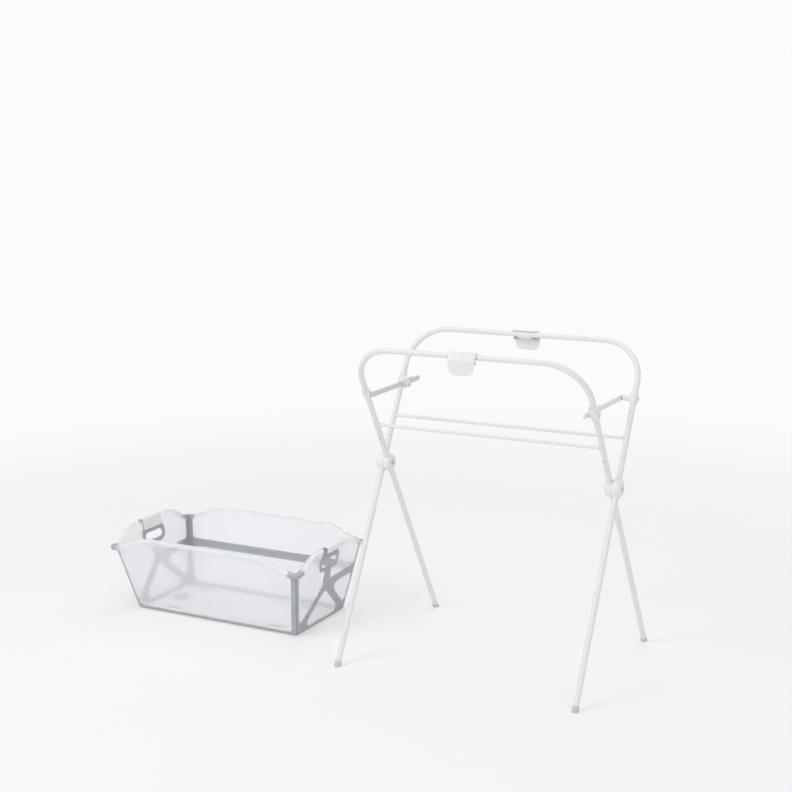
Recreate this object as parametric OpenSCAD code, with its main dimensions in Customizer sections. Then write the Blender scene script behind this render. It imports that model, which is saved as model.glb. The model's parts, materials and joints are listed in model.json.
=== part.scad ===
// Folding baby bath with its folding stand.
// The stand is two tube hoops that cross at a pivot on each side.
// The bath stands beside it, open, on its own base.
// Frame: +Z up, +X along the bath's length, the floor at z = 0.

/* [Stand hoops] */
// Outside diameter of the hoop tube
tube_d = 16; // [14:0.5:20]
// Wall of the hoop tube
tube_wall = 1.2; // [0.8:0.1:2]
// Half width of the front hoop, between the centre lines of its legs
front_half_w = 336; // [300:1:380]
// Gap between the tubes of the two hoops where they cross
hoop_gap = 1; // [0.8:0.1:3]
// Lean of each hoop from upright, in degrees
lean = 28.46; // [24:0.1:32]
// Height of the pivot above the floor
pivot_z = 521; // [480:1:560]
// Height of the top bars above the floor
top_z = 882; // [840:1:930]
// Radius of the bends at the top corners
bend_r = 115; // [90:1:140]
// Distance of the crossbars above the pivot, along the leg
crossbar_s = 140; // [125:1:160]
// Diameter of the crossbars
crossbar_d = 10; // [8:0.5:12]

/* [Leg joints and feet] */
// Distance of the leg joint above the pivot, along the leg
seam_s = 78; // [70:1:90]
// Length of the reduced end of the lower leg inside the upper tube
spigot_l = 42; // [36:1:46]
// Diameter of the snap buttons
button_d = 7; // [5:0.5:8]
// How far a snap button stands out of the tube
button_out = 2.4; // [1.5:0.1:3]
// Outside diameter of the foot caps
foot_d = 21; // [19:0.5:26]
// Length of a foot cap above the floor, along the leg
foot_l = 30; // [24:1:40]

/* [Pivot] */
// Diameter of the round housing
housing_d = 42; // [36:1:50]
// How far the housing stands out past the rear tube
housing_out = 7; // [5:0.5:10]
// Diameter of the inner sleeve
sleeve_d = 31; // [28:1:36]
// How far the inner sleeve stands in past the front tube
sleeve_in = 4; // [3:0.5:8]
// Diameter of the pivot bolt
bolt_d = 6; // [5:0.5:7]

/* [Side stays] */
// Distance of the stay pins below the start of the bends, along the leg
stay_below = 44.6; // [30:0.1:60]
// Height of the flat stay bar
stay_h = 14; // [12:0.5:16]
// Thickness of the stay bar
stay_t = 5; // [4:0.5:6]
// How far the stay bar runs on past the other leg
stay_past = 25; // [18:1:40]
// Distance of the clamp block from its pin
block_at = 62; // [56:1:70]
// Length of the clamp block
block_l = 24; // [20:1:26]
// Diameter of the clamp knob
knob_d = 21; // [18:1:24]

/* [Rim latches] */
// Length of a latch cover along the bar
latch_w = 78; // [66:1:90]
// How far the tongue of the cover hangs below the bar's centre
latch_drop = 50; // [44:1:60]
// Thickness of the latch cover
latch_t = 3; // [2.4:0.1:3.6]

/* [Bath] */
// Length of the base, between its corners
base_l = 572; // [520:1:620]
// Depth of the base, between its corners
base_w = 262; // [240:1:280]
// How far the rim's corners stand out past the base at each end
flare_l = 38; // [25:1:50]
// How far the rim's corners stand out past the base at the front and the rear
flare_w = 54; // [40:1:60]
// Height of the rim at its corners
corner_h = 213; // [195:1:230]
// How much the rim rises between its corners
rim_rise = 40; // [25:1:50]
// Wall of the bath's panels
wall_t = 3; // [2.4:0.1:4]
// How far the rolled rim stands out
lip_out = 13; // [10:0.5:16]
// How far the rolled rim turns down
lip_down = 10; // [7:0.5:12]
// Half width of the soft bands along the folds
band_half = 12; // [9:0.5:14]
// Half width of the soft stem under the handle
stem_half = 17; // [14:0.5:22]
// Width of the soft band on the walls along the bottom edges
foot_band = 6; // [5:0.5:12]
// Width of the broad corner band on a long wall
wall_band = 15; // [12:0.5:20]
// Width of the broad corner band on an end wall
end_band = 10; // [8:0.5:14]
// Width of the narrow corner bands
thin_band = 3; // [2:0.5:6]
// Height of the crease node in the end walls, along the wall
node_h = 121; // [110:1:130]
// Distance of the bath from the stand
set_gap = 150; // [40:1:200]

/* [Bath fittings] */
// Width of the handle slot
slot_w = 85; // [75:1:95]
// Height of the handle slot
slot_h = 25; // [22:1:30]
// Length of the lock clip along the rim
clip_w = 89; // [80:1:96]
// Height of the lock clip
clip_h = 34; // [30:1:38]
// Diameter of the drain plug
plug_d = 50; // [44:1:56]
// Height of the non-slip pads under the base
pad_h = 2; // [1.5:0.1:4]

/* [Hidden] */
$fn = 48;

// Colours, as red, green and blue shares
white_coat = [0.90, 0.90, 0.91];
warm_plastic = [0.91, 0.90, 0.89];
grey_plastic = [0.60, 0.61, 0.62];
steel = [0.72, 0.73, 0.75];
frosted = [0.90, 0.92, 0.94, 0.75];
soft_grey = [0.64, 0.65, 0.68];

// Which hoop: its top is at the front or at the rear
FRONT = 1;
REAR = -1;
LEFT = -1;
RIGHT = 1;

// Clearances
slip = 0.15;
touch = 0.3;
running = 0.05;

// Stand, derived
tube_r = tube_d / 2;
bore_r = tube_r - tube_wall;
rear_half_w = front_half_w + tube_d + hoop_gap;
top_s = (top_z - pivot_z) / cos(lean);
stay_s = top_s - bend_r - stay_below;
foot_s = pivot_z / cos(lean);
top_y = (top_z - pivot_z) * tan(lean);
mid_x = front_half_w + tube_r + hoop_gap / 2;
housing_face = rear_half_w + tube_r + housing_out;
sleeve_face = front_half_w - tube_r - sleeve_in;

// Bath's slopes and the reach of its lock clips
rim_l = base_l + 2 * flare_l;
rim_w = base_w + 2 * flare_w;
floor_z = pad_h + wall_t;
wall_rise = corner_h - floor_z;
side_lean = atan(flare_w / wall_rise);
end_lean = atan(flare_l / wall_rise);
side_h = wall_rise / cos(side_lean);
end_h = wall_rise / cos(end_lean);
rim_top = end_h + rim_rise;
clip_t = 3;
clip_r = 5;
clip_outer = wall_t + lip_out + touch + clip_t;
bath_reach = base_l / 2 + (rim_top + clip_t - clip_r) * sin(end_lean)
    + (clip_outer - clip_r) * cos(end_lean) + clip_r;

// Where each half of the set stands
set_l = 2 * bath_reach + set_gap + 2 * housing_face;
stand_x = set_l / 2 - housing_face;
bath_x = bath_reach - set_l / 2;

// Stay, derived
clamp_r = tube_r + 3;
clamp_l = 26;
pin_d = 6;
arm_t = 2.5;
boss_face = front_half_w - clamp_r - 2.9;
arm_face = boss_face - touch;
bar_face = arm_face - arm_t - touch;
stay_y = stay_s * sin(lean);
stay_z = pivot_z + stay_s * cos(lean);
block_wall = 4.8;
knob_h = 11;
screw_r = 3;
screw_pad = 0.6;
saddle_screw_x = 12;

// Bath, derived
fold_v = base_w / 2;
half_len = function (v) base_l / 2 + flare_l * v / side_h;
half_dep = function (v) base_w / 2 + flare_w * v / end_h;
end_fold_v = fold_v / side_h * end_h;
shoulder = 68;
skin_gap = 0.15;
grip_h = end_h - 18;
// The front half's rim ends early, because it passes the rear half as the end wall folds
front_lip_gap = 17.5;
ring_side = 12;
ring_top = 22;
plug_x = 36 + plug_d / 2;
panel_r = 16;

// Plane helpers

function unit(v) = v / norm(v);

// Corner i of a polygon set in by d from its two edges
function line_at(p, q, d) =
    let (n = unit([p[1] - q[1], q[0] - p[0]]))
    [n[0], n[1], n * p + d];
function meet(a, b) =
    let (det = a[0] * b[1] - a[1] * b[0])
    [(a[2] * b[1] - a[1] * b[2]) / det, (a[0] * b[2] - a[2] * b[0]) / det];
// Polygon p, anticlockwise, with edge i set in by d[i]
function inset(p, d) =
    let (m = len(p))
    [for (i = [0 : m - 1])
        let (before = (i + m - 1) % m)
        meet(line_at(p[before], p[i], d[before]), line_at(p[i], p[(i + 1) % m], d[i]))];
// Rounds corner i of polygon p to radius r[i]
function corner_arc(a, p, b, r, steps = 5) =
    let (u = unit(a - p))
    let (w = unit(b - p))
    let (half = acos(u * w) / 2)
    let (centre = p + unit(u + w) * r / sin(half))
    let (from = p + u * r / tan(half) - centre)
    let (to = p + w * r / tan(half) - centre)
    let (a0 = atan2(from[1], from[0]))
    let (turn = atan2(to[1], to[0]) - a0)
    let (sweep = turn > 180 ? turn - 360 : turn < -180 ? turn + 360 : turn)
    [for (i = [0 : steps]) centre + r * [cos(a0 + sweep * i / steps), sin(a0 + sweep * i / steps)]];
function rounded(p, r) =
    let (m = len(p))
    [for (i = [0 : m - 1])
        each (r[i] > 0 ? corner_arc(p[(i + m - 1) % m], p[i], p[(i + 1) % m], r[i]) : [p[i]])];

// Frame of a hoop: x across, y up the leg from the pivot, z to the front
module hoop_frame(hoop) {
    translate([stand_x, 0, pivot_z])
        rotate([90 + hoop * lean, 0, 0])
            children();
}

module along_leg(from, to, r) {
    translate([0, from, 0])
        rotate([-90, 0, 0])
            cylinder(h = to - from, r = r);
}

module both_sides() {
    children();
    mirror([1, 0, 0])
        children();
}

module on_side(side) {
    if (side == LEFT)
        mirror([1, 0, 0])
            children();
    else
        children();
}

// A solid round run of the hoop's upper part, to be used for the tube and its bore
module hoop_run(half_w, r) {
    both_sides() {
        translate([half_w, 0, 0])
            along_leg(seam_s, top_s - bend_r, r);
        translate([half_w - bend_r, top_s - bend_r, 0])
            rotate_extrude(angle = 90)
                translate([bend_r, 0])
                    circle(r = r);
    }
    translate([bend_r - half_w, top_s, 0])
        rotate([0, 90, 0])
            cylinder(h = 2 * (half_w - bend_r), r = r);
}

module button_holes(half_w, r) {
    both_sides()
        translate([half_w, seam_s + spigot_l / 2, 0])
            cylinder(h = tube_d, r = r);
}

module upper_hoop(hoop, half_w) {
    color(white_coat)
        hoop_frame(hoop)
            difference() {
                hoop_run(half_w, tube_r);
                hoop_run(half_w, bore_r);
                button_holes(half_w, button_d / 2 + slip);
            }
}

module lower_legs(hoop, half_w) {
    foot_end = -foot_s + foot_l / 2;
    color(white_coat)
        hoop_frame(hoop)
            both_sides()
                difference() {
                    translate([half_w, 0, 0]) {
                        along_leg(foot_end, seam_s - touch, tube_r);
                        along_leg(seam_s - touch, seam_s + spigot_l, bore_r - slip);
                    }
                    translate([half_w, 0, 0]) {
                        along_leg(foot_end - 1, seam_s + spigot_l + 1, bore_r - slip - tube_wall);
                        along_leg(foot_end - 1, seam_s - spigot_l / 4, bore_r);
                    }
                    translate([half_w, seam_s + spigot_l / 2, 0])
                        cylinder(h = tube_d, r = button_d / 2 + slip);
                    translate([half_w - tube_d, 0, 0])
                        rotate([0, 90, 0])
                            cylinder(h = 2 * tube_d, r = bolt_d / 2 + running);
                }
}

module crossbar(hoop, half_w) {
    color(white_coat)
        hoop_frame(hoop)
            difference() {
                translate([-half_w, crossbar_s, 0])
                    rotate([0, 90, 0])
                        cylinder(h = 2 * half_w, d = crossbar_d);
                translate([-half_w, crossbar_s, 0])
                    rotate([0, 90, 0])
                        cylinder(h = 2 * half_w, d = crossbar_d - 2);
                both_sides()
                    translate([half_w, 0, 0])
                        along_leg(crossbar_s - tube_d, crossbar_s + tube_d, tube_r + running);
            }
}

// Grey end caps, cut level where they stand on the floor
module feet(hoop, half_w) {
    color(grey_plastic)
        difference() {
            hoop_frame(hoop)
                both_sides()
                    difference() {
                        translate([half_w, 0, 0]) {
                            along_leg(-foot_s - foot_d, -foot_s + foot_l, foot_d / 2);
                            translate([0, -foot_s + foot_l, 0])
                                rotate([-90, 0, 0])
                                    cylinder(h = 3, r1 = foot_d / 2, r2 = tube_r + 1);
                        }
                        translate([half_w, 0, 0])
                            along_leg(-foot_s + foot_l / 2 - slip, 0, tube_r + running);
                    }
            translate([stand_x - rear_half_w - foot_d, -foot_s, -3 * foot_d])
                cube([2 * (rear_half_w + foot_d), 2 * foot_s, 3 * foot_d]);
        }
}

// A turned knob of radius r and height h with a rounded far edge
module rounded_disc(r, h, edge) {
    rotate_extrude()
        polygon([[0, 0], [r, 0], [r, h - edge],
            for (i = [1 : 6]) [r - edge + edge * cos(15 * i), h - edge + edge * sin(15 * i)],
            [0, h]]);
}

module pivot_housings() {
    length = housing_face - mid_x - touch / 2;
    head_r = bolt_d + slip;
    color(warm_plastic)
        hoop_frame(REAR)
            both_sides()
                difference() {
                    union() {
                        translate([mid_x + touch / 2, 0, 0])
                            rotate([0, 90, 0])
                                rounded_disc(housing_d / 2, length, 6);
                        translate([rear_half_w, 0, 0])
                            along_leg(-housing_d / 2 - 5, housing_d / 2 + 5, tube_r + 3);
                    }
                    translate([rear_half_w, 0, 0])
                        along_leg(-housing_d, housing_d, tube_r + running);
                    rotate([0, 90, 0])
                        cylinder(h = 2 * housing_face, r = bolt_d / 2 + running);
                    translate([housing_face - 4.5, 0, 0])
                        rotate([0, 90, 0])
                            cylinder(h = housing_face, r = head_r + 1);
                    translate([mid_x - tube_d + touch / 2, -housing_d, -housing_d])
                        cube([tube_d, 2 * housing_d, 2 * housing_d]);
                }
}

module pivot_sleeves() {
    length = mid_x - touch / 2 - sleeve_face;
    color(warm_plastic)
        hoop_frame(FRONT)
            both_sides()
                difference() {
                    union() {
                        translate([mid_x - touch / 2, 0, 0])
                            rotate([0, -90, 0])
                                rounded_disc(sleeve_d / 2, length, 4);
                        translate([front_half_w, 0, 0])
                            along_leg(-sleeve_d / 2 - 8, sleeve_d / 2 + 8, tube_r + 2.5);
                    }
                    translate([front_half_w, 0, 0])
                        along_leg(-sleeve_d, sleeve_d, tube_r + running);
                    rotate([0, 90, 0])
                        cylinder(h = 2 * mid_x, r = bolt_d / 2 + running);
                    translate([mid_x - touch / 2, -sleeve_d, -sleeve_d])
                        cube([tube_d, 2 * sleeve_d, 2 * sleeve_d]);
                }
}

// Bolts with a recessed head outside and a dome nut inside
module pivot_bolts() {
    head_h = 3.5;
    head_x = housing_face - 4.5 + touch;
    nut_h = 5.5;
    color(steel)
        hoop_frame(FRONT)
            both_sides() {
                difference() {
                    union() {
                        translate([sleeve_face - nut_h + 1, 0, 0])
                            rotate([0, 90, 0])
                                cylinder(h = head_x - sleeve_face + nut_h - 1, d = bolt_d);
                        translate([head_x, 0, 0])
                            rotate([0, 90, 0])
                                rounded_disc(bolt_d, head_h, 1);
                    }
                    translate([head_x + 1.2, 0, 0])
                        rotate([0, 90, 0])
                            cylinder(h = head_h, d = bolt_d, $fn = 6);
                }
                difference() {
                    translate([sleeve_face - touch, 0, 0])
                        rotate([0, -90, 0])
                            rounded_disc(bolt_d, nut_h, 2);
                    translate([sleeve_face - nut_h, 0, 0])
                        rotate([0, 90, 0])
                            cylinder(h = 2 * nut_h, d = bolt_d + 2 * running);
                }
            }
}

// Sprung button on its leaf, inside the spigot; it moves in along -z of the hoop's frame
module snap_button(hoop, half_w, side) {
    travel_room = 4;
    low = tube_r - tube_wall - travel_room;
    color(steel)
        hoop_frame(hoop)
            translate([side * half_w, seam_s + spigot_l / 2, low]) {
                rounded_disc(button_d / 2, tube_r + button_out - low, 1.6);
                translate([-2.5, -14, -0.6])
                    cube([5, 18, 0.6]);
            }
}

// Side stays. The frame has its origin at the sleeve pin, x out to the side of the stand
// and y towards the other leg.
module stay_frame(side) {
    translate([stand_x, 0, stay_z])
        rotate([0, 0, side == LEFT ? 180 : 0])
            children();
}

// On each side one clamp carries the bar's pin and the other the guide's pin
module stay_clamp(half_w) {
    translate([half_w, stay_s, 0])
        difference() {
            union() {
                along_leg(-clamp_l / 2, clamp_l / 2, clamp_r);
                translate([boss_face - half_w, 0, 0])
                    rotate([0, 90, 0])
                        cylinder(h = half_w - boss_face, r = 8);
                rotate([0, 90, 0])
                    cylinder(h = clamp_r + screw_pad, r = screw_r + 1.5);
            }
            along_leg(-clamp_l, clamp_l, tube_r + running);
            translate([boss_face - half_w - 1, 0, 0])
                rotate([0, 90, 0])
                    cylinder(h = half_w - boss_face - tube_r - 1, d = pin_d + 2 * running);
        }
}

module stay_clamps(hoop, half_w) {
    color(warm_plastic)
        hoop_frame(hoop)
            both_sides()
                stay_clamp(half_w);
}

// Pins of the stays, the screws of the clamps and those of the latch saddle
module hoop_fasteners(hoop, half_w) {
    bar_side = hoop == FRONT ? LEFT : RIGHT;
    color(steel) {
        hoop_frame(hoop)
            for (side = [LEFT, RIGHT]) {
                tip = side == bar_side ? bar_face - stay_t : arm_face - arm_t;
                on_side(side) {
                    translate([tip, stay_s, 0])
                        rotate([0, 90, 0])
                            cylinder(h = half_w - tube_r - 3 - tip, d = pin_d);
                    translate([half_w + clamp_r + screw_pad, stay_s, 0])
                        rotate([0, 90, 0])
                            rounded_disc(screw_r, 2, 0.8);
                }
            }
        latch_frame(hoop)
            for (x = [-saddle_screw_x, saddle_screw_x])
                translate([x, 0, -saddle_r - screw_pad])
                    rotate([180, 0, 0])
                        rounded_disc(screw_r, 1.5, 0.5);
        latch_frame(hoop)
            translate([2 - latch_w / 2, latch_pin[0], latch_pin[1]])
                rotate([0, 90, 0])
                    cylinder(h = latch_w - 4, d = latch_pin_d);
    }
}

// The bar is drawn for the right side, with its pin at the rear leg and y to the rear
module stay_bar(side) {
    length = 2 * stay_y + stay_past;
    color(grey_plastic)
        stay_frame(side)
            translate([bar_face - stay_t, stay_y, 0])
                rotate([0, 90, 0])
                    linear_extrude(height = stay_t)
                        difference() {
                            union() {
                                circle(d = stay_h);
                                translate([-stay_h / 2, -length])
                                    square([stay_h, length]);
                                translate([0, -length])
                                    circle(d = stay_h);
                            }
                            circle(d = pin_d + 2 * running);
                        }
}

// Slotted arm on the other leg's pin, with the clamp block that the bar slides through
module stay_guide(side) {
    arm_h = stay_h + 3;
    slot_from = 36;
    inner_face = bar_face - stay_t - touch - block_wall;
    color(warm_plastic)
        stay_frame(side)
            translate([0, -stay_y, 0])
                difference() {
                    union() {
                        translate([arm_face - arm_t, 0, 0])
                            rotate([0, 90, 0])
                                linear_extrude(height = arm_t)
                                    union() {
                                        circle(d = arm_h);
                                        translate([-arm_h / 2, 0])
                                            square([arm_h, block_at]);
                                    }
                        translate([inner_face, block_at - block_l / 2, -stay_h / 2 - 5])
                            cube([arm_face - inner_face, block_l, stay_h + 10]);
                        translate([inner_face - 2, block_at, 0])
                            rotate([0, 90, 0])
                                cylinder(h = 3, r = 8);
                    }
                    translate([bar_face - stay_t - touch, block_at - block_l, -stay_h / 2 - touch])
                        cube([stay_t + 2 * touch, 2 * block_l, stay_h + 2 * touch]);
                    translate([arm_face - arm_t - 1, slot_from, -pin_d / 2 - 0.5])
                        cube([arm_t + 2, block_at, pin_d + 1]);
                    translate([arm_face - 2 * arm_t, 0, 0])
                        rotate([0, 90, 0])
                            cylinder(h = 3 * arm_t, d = pin_d + 2 * running);
                    translate([inner_face - 3, block_at, 0])
                        rotate([0, 90, 0])
                            cylinder(h = block_wall + 4, d = pin_d + 2 * running);
                }
}

// Screw knob with finger lobes, on the inner face of the clamp block
module clamp_knob(side) {
    lobes = 6;
    inner_face = bar_face - stay_t - touch - block_wall - 2;
    color(grey_plastic)
        stay_frame(side)
            translate([inner_face - touch, block_at - stay_y, 0])
                rotate([0, -90, 0]) {
                    difference() {
                        rounded_disc(knob_d / 2, knob_h, 2.5);
                        for (i = [1 : lobes])
                            rotate(i * 360 / lobes)
                                translate([knob_d / 2 + 3, 0, -1])
                                    cylinder(h = knob_h + 2, r = 5);
                    }
                    translate([0, 0, -block_wall - touch - 2])
                        cylinder(h = block_wall + 3, d = pin_d);
                }
}

// Rim latches. Frame: origin on the bar's centre line, y out of the stand, z up.
latch_pin = [12, -14];
latch_pin_d = 3;
saddle_r = tube_r + 3.8;
knuckle_r = 4;
saddle_half = 18;

module latch_frame(hoop) {
    translate([stand_x, -hoop * top_y, top_z])
        rotate([0, 0, hoop == FRONT ? 180 : 0])
            children();
}

// A profile drawn in y and z, extruded along x from x0
module along_bar(x0, length) {
    translate([x0, 0, 0])
        rotate([90, 0, 90])
            linear_extrude(height = length)
                children();
}

module ring_sector(r_in, r_out, from, to, steps = 14) {
    polygon([for (i = [0 : steps]) r_out * [cos(from + (to - from) * i / steps),
            sin(from + (to - from) * i / steps)],
        for (i = [steps : -1 : 0]) r_in * [cos(from + (to - from) * i / steps),
            sin(from + (to - from) * i / steps)]]);
}

module latch_saddle(hoop) {
    color(warm_plastic)
        latch_frame(hoop)
            difference() {
                union() {
                    along_bar(-saddle_half, 2 * saddle_half)
                        ring_sector(tube_r + running, saddle_r, -172, -30);
                    along_bar(-saddle_half, 2 * saddle_half) {
                        translate(latch_pin)
                            circle(r = knuckle_r);
                        polygon([[4, -saddle_r + 0.6], [10, -6.5], latch_pin + [2, knuckle_r - 1],
                            latch_pin + [-1, -knuckle_r + 0.1]]);
                    }
                    for (x = [-saddle_screw_x, saddle_screw_x])
                        translate([x, 0, -saddle_r - screw_pad])
                            cylinder(h = saddle_r - tube_r, r = screw_r + 1);
                }
                along_bar(-latch_w, 2 * latch_w)
                    translate(latch_pin)
                        circle(d = latch_pin_d + 2 * running);
                along_bar(-latch_w, 2 * latch_w)
                    circle(r = tube_r + running);
            }
}

// Cover over the bar with a hanging tongue; the tongue narrows and has round corners
module latch_cover(hoop) {
    inner_r = tube_r + 1.5;
    plate_in = 16.8;
    plate_low = 18.6;
    tongue_w = latch_w - 12;
    color(warm_plastic)
        latch_frame(hoop)
            intersection() {
                union() {
                    along_bar(-latch_w / 2, latch_w) {
                        ring_sector(inner_r, inner_r + latch_t, 0, 118);
                        polygon([[inner_r, 0.4], [inner_r, -1], [plate_in, -9.5],
                            [plate_low, -latch_drop], [plate_low + latch_t, -latch_drop],
                            [plate_in + latch_t, -8.5], [inner_r + latch_t, 0.4]]);
                    }
                    for (side = [LEFT, RIGHT])
                        difference() {
                            along_bar(side == LEFT ? -latch_w / 2 + 3 : saddle_half + 0.4,
                                latch_w / 2 - saddle_half - 3.4) {
                                translate(latch_pin)
                                    circle(r = knuckle_r);
                                translate([latch_pin[0], latch_pin[1] - knuckle_r])
                                    square([plate_in - latch_pin[0] + 0.6, 2 * knuckle_r]);
                            }
                            along_bar(-latch_w, 2 * latch_w)
                                translate(latch_pin)
                                    circle(d = latch_pin_d + 2 * running);
                        }
                }
                translate([0, -tube_d, 0])
                    rotate([-90, 0, 0])
                        linear_extrude(height = 3 * tube_d)
                            polygon(rounded([[-latch_w / 2, -tube_d], [-latch_w / 2, 10],
                                [-tongue_w / 2, latch_drop], [tongue_w / 2, latch_drop],
                                [latch_w / 2, 10], [latch_w / 2, -tube_d]], [4, 0, 15, 15, 0, 4]));
            }
}

// Bath. A wall's frame has x along the wall, y up its slope and z outwards.
module front_frame() {
    translate([bath_x, -base_w / 2, floor_z])
        rotate([90 + side_lean, 0, 0])
            children();
}

module rear_frame() {
    translate([bath_x, base_w / 2, floor_z])
        rotate([0, 0, 180])
            rotate([90 + side_lean, 0, 0])
                children();
}

// x runs to the rear in both end walls
module end_frame(side) {
    if (side == RIGHT)
        translate([bath_x + base_l / 2, 0, floor_z])
            rotate([0, 0, 90])
                rotate([90 + end_lean, 0, 0])
                    children();
    else
        translate([bath_x - base_l / 2, 0, floor_z])
            rotate([0, 0, -90])
                rotate([90 + end_lean, 0, 0])
                    mirror([1, 0, 0])
                        children();
}

// Outline of a rim wall from a height on its slope to its raised rim
module rim_wall_shape(low) {
    low_half = half_len(low);
    high_half = half_len(side_h);
    polygon(rounded(inset([[-low_half, low], [low_half, low], [high_half, side_h],
        [high_half - shoulder, side_h + rim_rise], [shoulder - high_half, side_h + rim_rise],
        [-high_half, side_h]], [skin_gap, skin_gap, 0, 0, 0, skin_gap]), [0, 0, 0, 50, 50, 0]));
}

// The part of a long wall inside its bands, which runs on over the rim
module long_wall_field(low, high, low_set, high_set) {
    polygon(rounded(inset([[-half_len(low), low], [half_len(low), low], [half_len(high), high],
        [-half_len(high), high]], [low_set, wall_band, high_set, thin_band]),
        [panel_r / 2, panel_r, panel_r, panel_r / 2]));
}

module band_wall_shape(low, high) {
    polygon(inset([[-half_len(low), low], [half_len(low), low], [half_len(high), high],
        [-half_len(high), high]], [skin_gap, skin_gap, skin_gap, skin_gap]));
}

// Rolled rim along the top edge of a 2D wall shape: a shelf and its turned-down edge
module rolled_rim() {
    roll_t = 2.5;
    linear_extrude(height = wall_t + lip_out)
        difference() {
            children();
            translate([0, -roll_t])
                children();
            translate([-rim_l, -side_h])
                square([2 * rim_l, 1.9 * side_h]);
        }
    translate([0, 0, wall_t + lip_out - roll_t])
        linear_extrude(height = roll_t)
            difference() {
                children();
                translate([0, -lip_down])
                    children();
                translate([-rim_l, -side_h])
                    square([2 * rim_l, 1.9 * side_h]);
            }
}

module rim_wall_body(low) {
    linear_extrude(height = wall_t)
        rim_wall_shape(low);
    rolled_rim()
        rim_wall_shape(low);
}

module rim_wall_field(low, low_set) {
    translate([0, 0, -1])
        linear_extrude(height = wall_t + lip_out + 2)
            long_wall_field(low, 2 * side_h, low_set, 0);
}

// The frosted panel of a rim wall and the soft border round it
module rim_panel(low, low_set) {
    color(frosted)
        intersection() {
            rim_wall_body(low);
            rim_wall_field(low, low_set);
        }
}

module rim_border(low, low_set) {
    color(soft_grey)
        difference() {
            rim_wall_body(low);
            rim_wall_field(low, low_set);
        }
}

// Quarter-round cap over the rim at a corner, from angle a0
module corner_cap(x, y, a0) {
    r = wall_t + lip_out + 1;
    color(soft_grey)
        translate([bath_x + x * rim_l / 2, y * rim_w / 2, corner_h])
            rotate(a0)
                rotate_extrude(angle = 90)
                    polygon([[0.5, -3], [r - 3.5, -3], [r - 3.5, -lip_down - 1], [r - 2.5, -lip_down - 2],
                        [r - 1, -lip_down - 2], [r, -lip_down - 1], [r, -1.5], [r - 2, 0.8], [0.5, 0.8]]);
}

module front_wall() {
    front_frame()
        rim_panel(0, foot_band);
}

module front_border() {
    front_frame()
        rim_border(0, foot_band);
    corner_cap(LEFT, -1, 180);
    corner_cap(RIGHT, -1, 270);
}

module rear_upper_wall() {
    rear_frame()
        rim_panel(fold_v, band_half);
}

module rear_upper_border() {
    rear_frame()
        rim_border(fold_v, band_half);
    corner_cap(LEFT, 1, 90);
    corner_cap(RIGHT, 1, 0);
}

module rear_lower_wall() {
    color(frosted)
        rear_frame()
            linear_extrude(height = wall_t)
                long_wall_field(0, fold_v, foot_band, band_half);
}

module rear_lower_border() {
    color(soft_grey)
        rear_frame()
            linear_extrude(height = wall_t)
                difference() {
                    band_wall_shape(0, fold_v);
                    long_wall_field(0, fold_v, foot_band, band_half);
                }
}

module base_shape(set) {
    polygon(rounded(inset([[-base_l / 2, -base_w / 2], [base_l / 2, -base_w / 2],
        [base_l / 2, base_w / 2], [-base_l / 2, base_w / 2]], [set, set, set, set]),
        set > 1 ? [panel_r, panel_r, panel_r, panel_r] : [0, 0, 0, 0]));
}

module base_panel() {
    color(frosted)
        translate([bath_x, 0, pad_h])
            difference() {
                linear_extrude(height = wall_t)
                    base_shape(band_half);
                translate([plug_x - base_l / 2, 0, -1])
                    cylinder(h = wall_t + 2, d = plug_d - 8);
            }
}

module base_border() {
    color(soft_grey)
        translate([bath_x, 0, pad_h])
            linear_extrude(height = wall_t)
                difference() {
                    base_shape(skin_gap);
                    base_shape(band_half);
                }
}

module base_pads() {
    color(soft_grey)
        for (x = [-1, 1])
            for (y = [-1, 1])
                translate([bath_x + x * base_l / 3, y * base_w / 3, 0])
                    linear_extrude(height = pad_h)
                        union() {
                            square([46, 14], center = true);
                            for (end = [-23, 23])
                                translate([end, 0])
                                    circle(d = 14);
                        }
}

// Drain plug with a finger loop; it lifts out of the base
module drain_plug() {
    skirt_d = plug_d - 8 - 2 * running;
    color(soft_grey)
        translate([bath_x + plug_x - base_l / 2, 0, pad_h]) {
            cylinder(h = wall_t + 1, d = skirt_d);
            translate([0, 0, wall_t])
                rounded_disc(plug_d / 2, 3, 1.5);
            difference() {
                translate([0, 2, wall_t + 2.5])
                    rotate([90, 0, 0])
                        cylinder(h = 4, r = 8);
                translate([0, 3, wall_t + 5])
                    rotate([90, 0, 0])
                        cylinder(h = 6, r = 3.5);
                translate([-10, -3, wall_t - 8])
                    cube([20, 6, 8]);
            }
        }
}

// End-wall facets, drawn in the end wall's frame. x is to the rear.
foot_p = [-base_w / 2, 0];
foot_q = [base_w / 2, 0];
fold_r = [half_dep(end_fold_v), end_fold_v];
top_a = [-rim_w / 2, end_h];
top_s_corner = [rim_w / 2, end_h];
node_n = [0, node_h];

// Widths of the corner bands: broad at the right front and the left rear
function front_band(side) = side == RIGHT ? end_band : thin_band;
function rear_band(side) = side == RIGHT ? thin_band : end_band;

function front_facet_points(hinge, crease, mid, top) =
    inset([foot_p, node_n, [0, rim_top], [shoulder - rim_w / 2, rim_top], top_a],
        [crease, mid, top, top, hinge]);
function top_facet_points(hinge, crease, mid, top) =
    inset([node_n, fold_r, top_s_corner, [rim_w / 2 - shoulder, rim_top], [0, rim_top]],
        [crease, hinge, top, top, mid]);
function floor_facet_points(hinge, crease) = inset([foot_p, foot_q, node_n], [hinge, crease, crease]);
function rear_facet_points(hinge, crease) = inset([foot_q, fold_r, node_n], [hinge, crease, crease]);

module front_facet_shape() {
    polygon(rounded(front_facet_points(skin_gap, skin_gap, skin_gap, 0), [0, 0, 0, 45, 0]));
}

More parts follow.
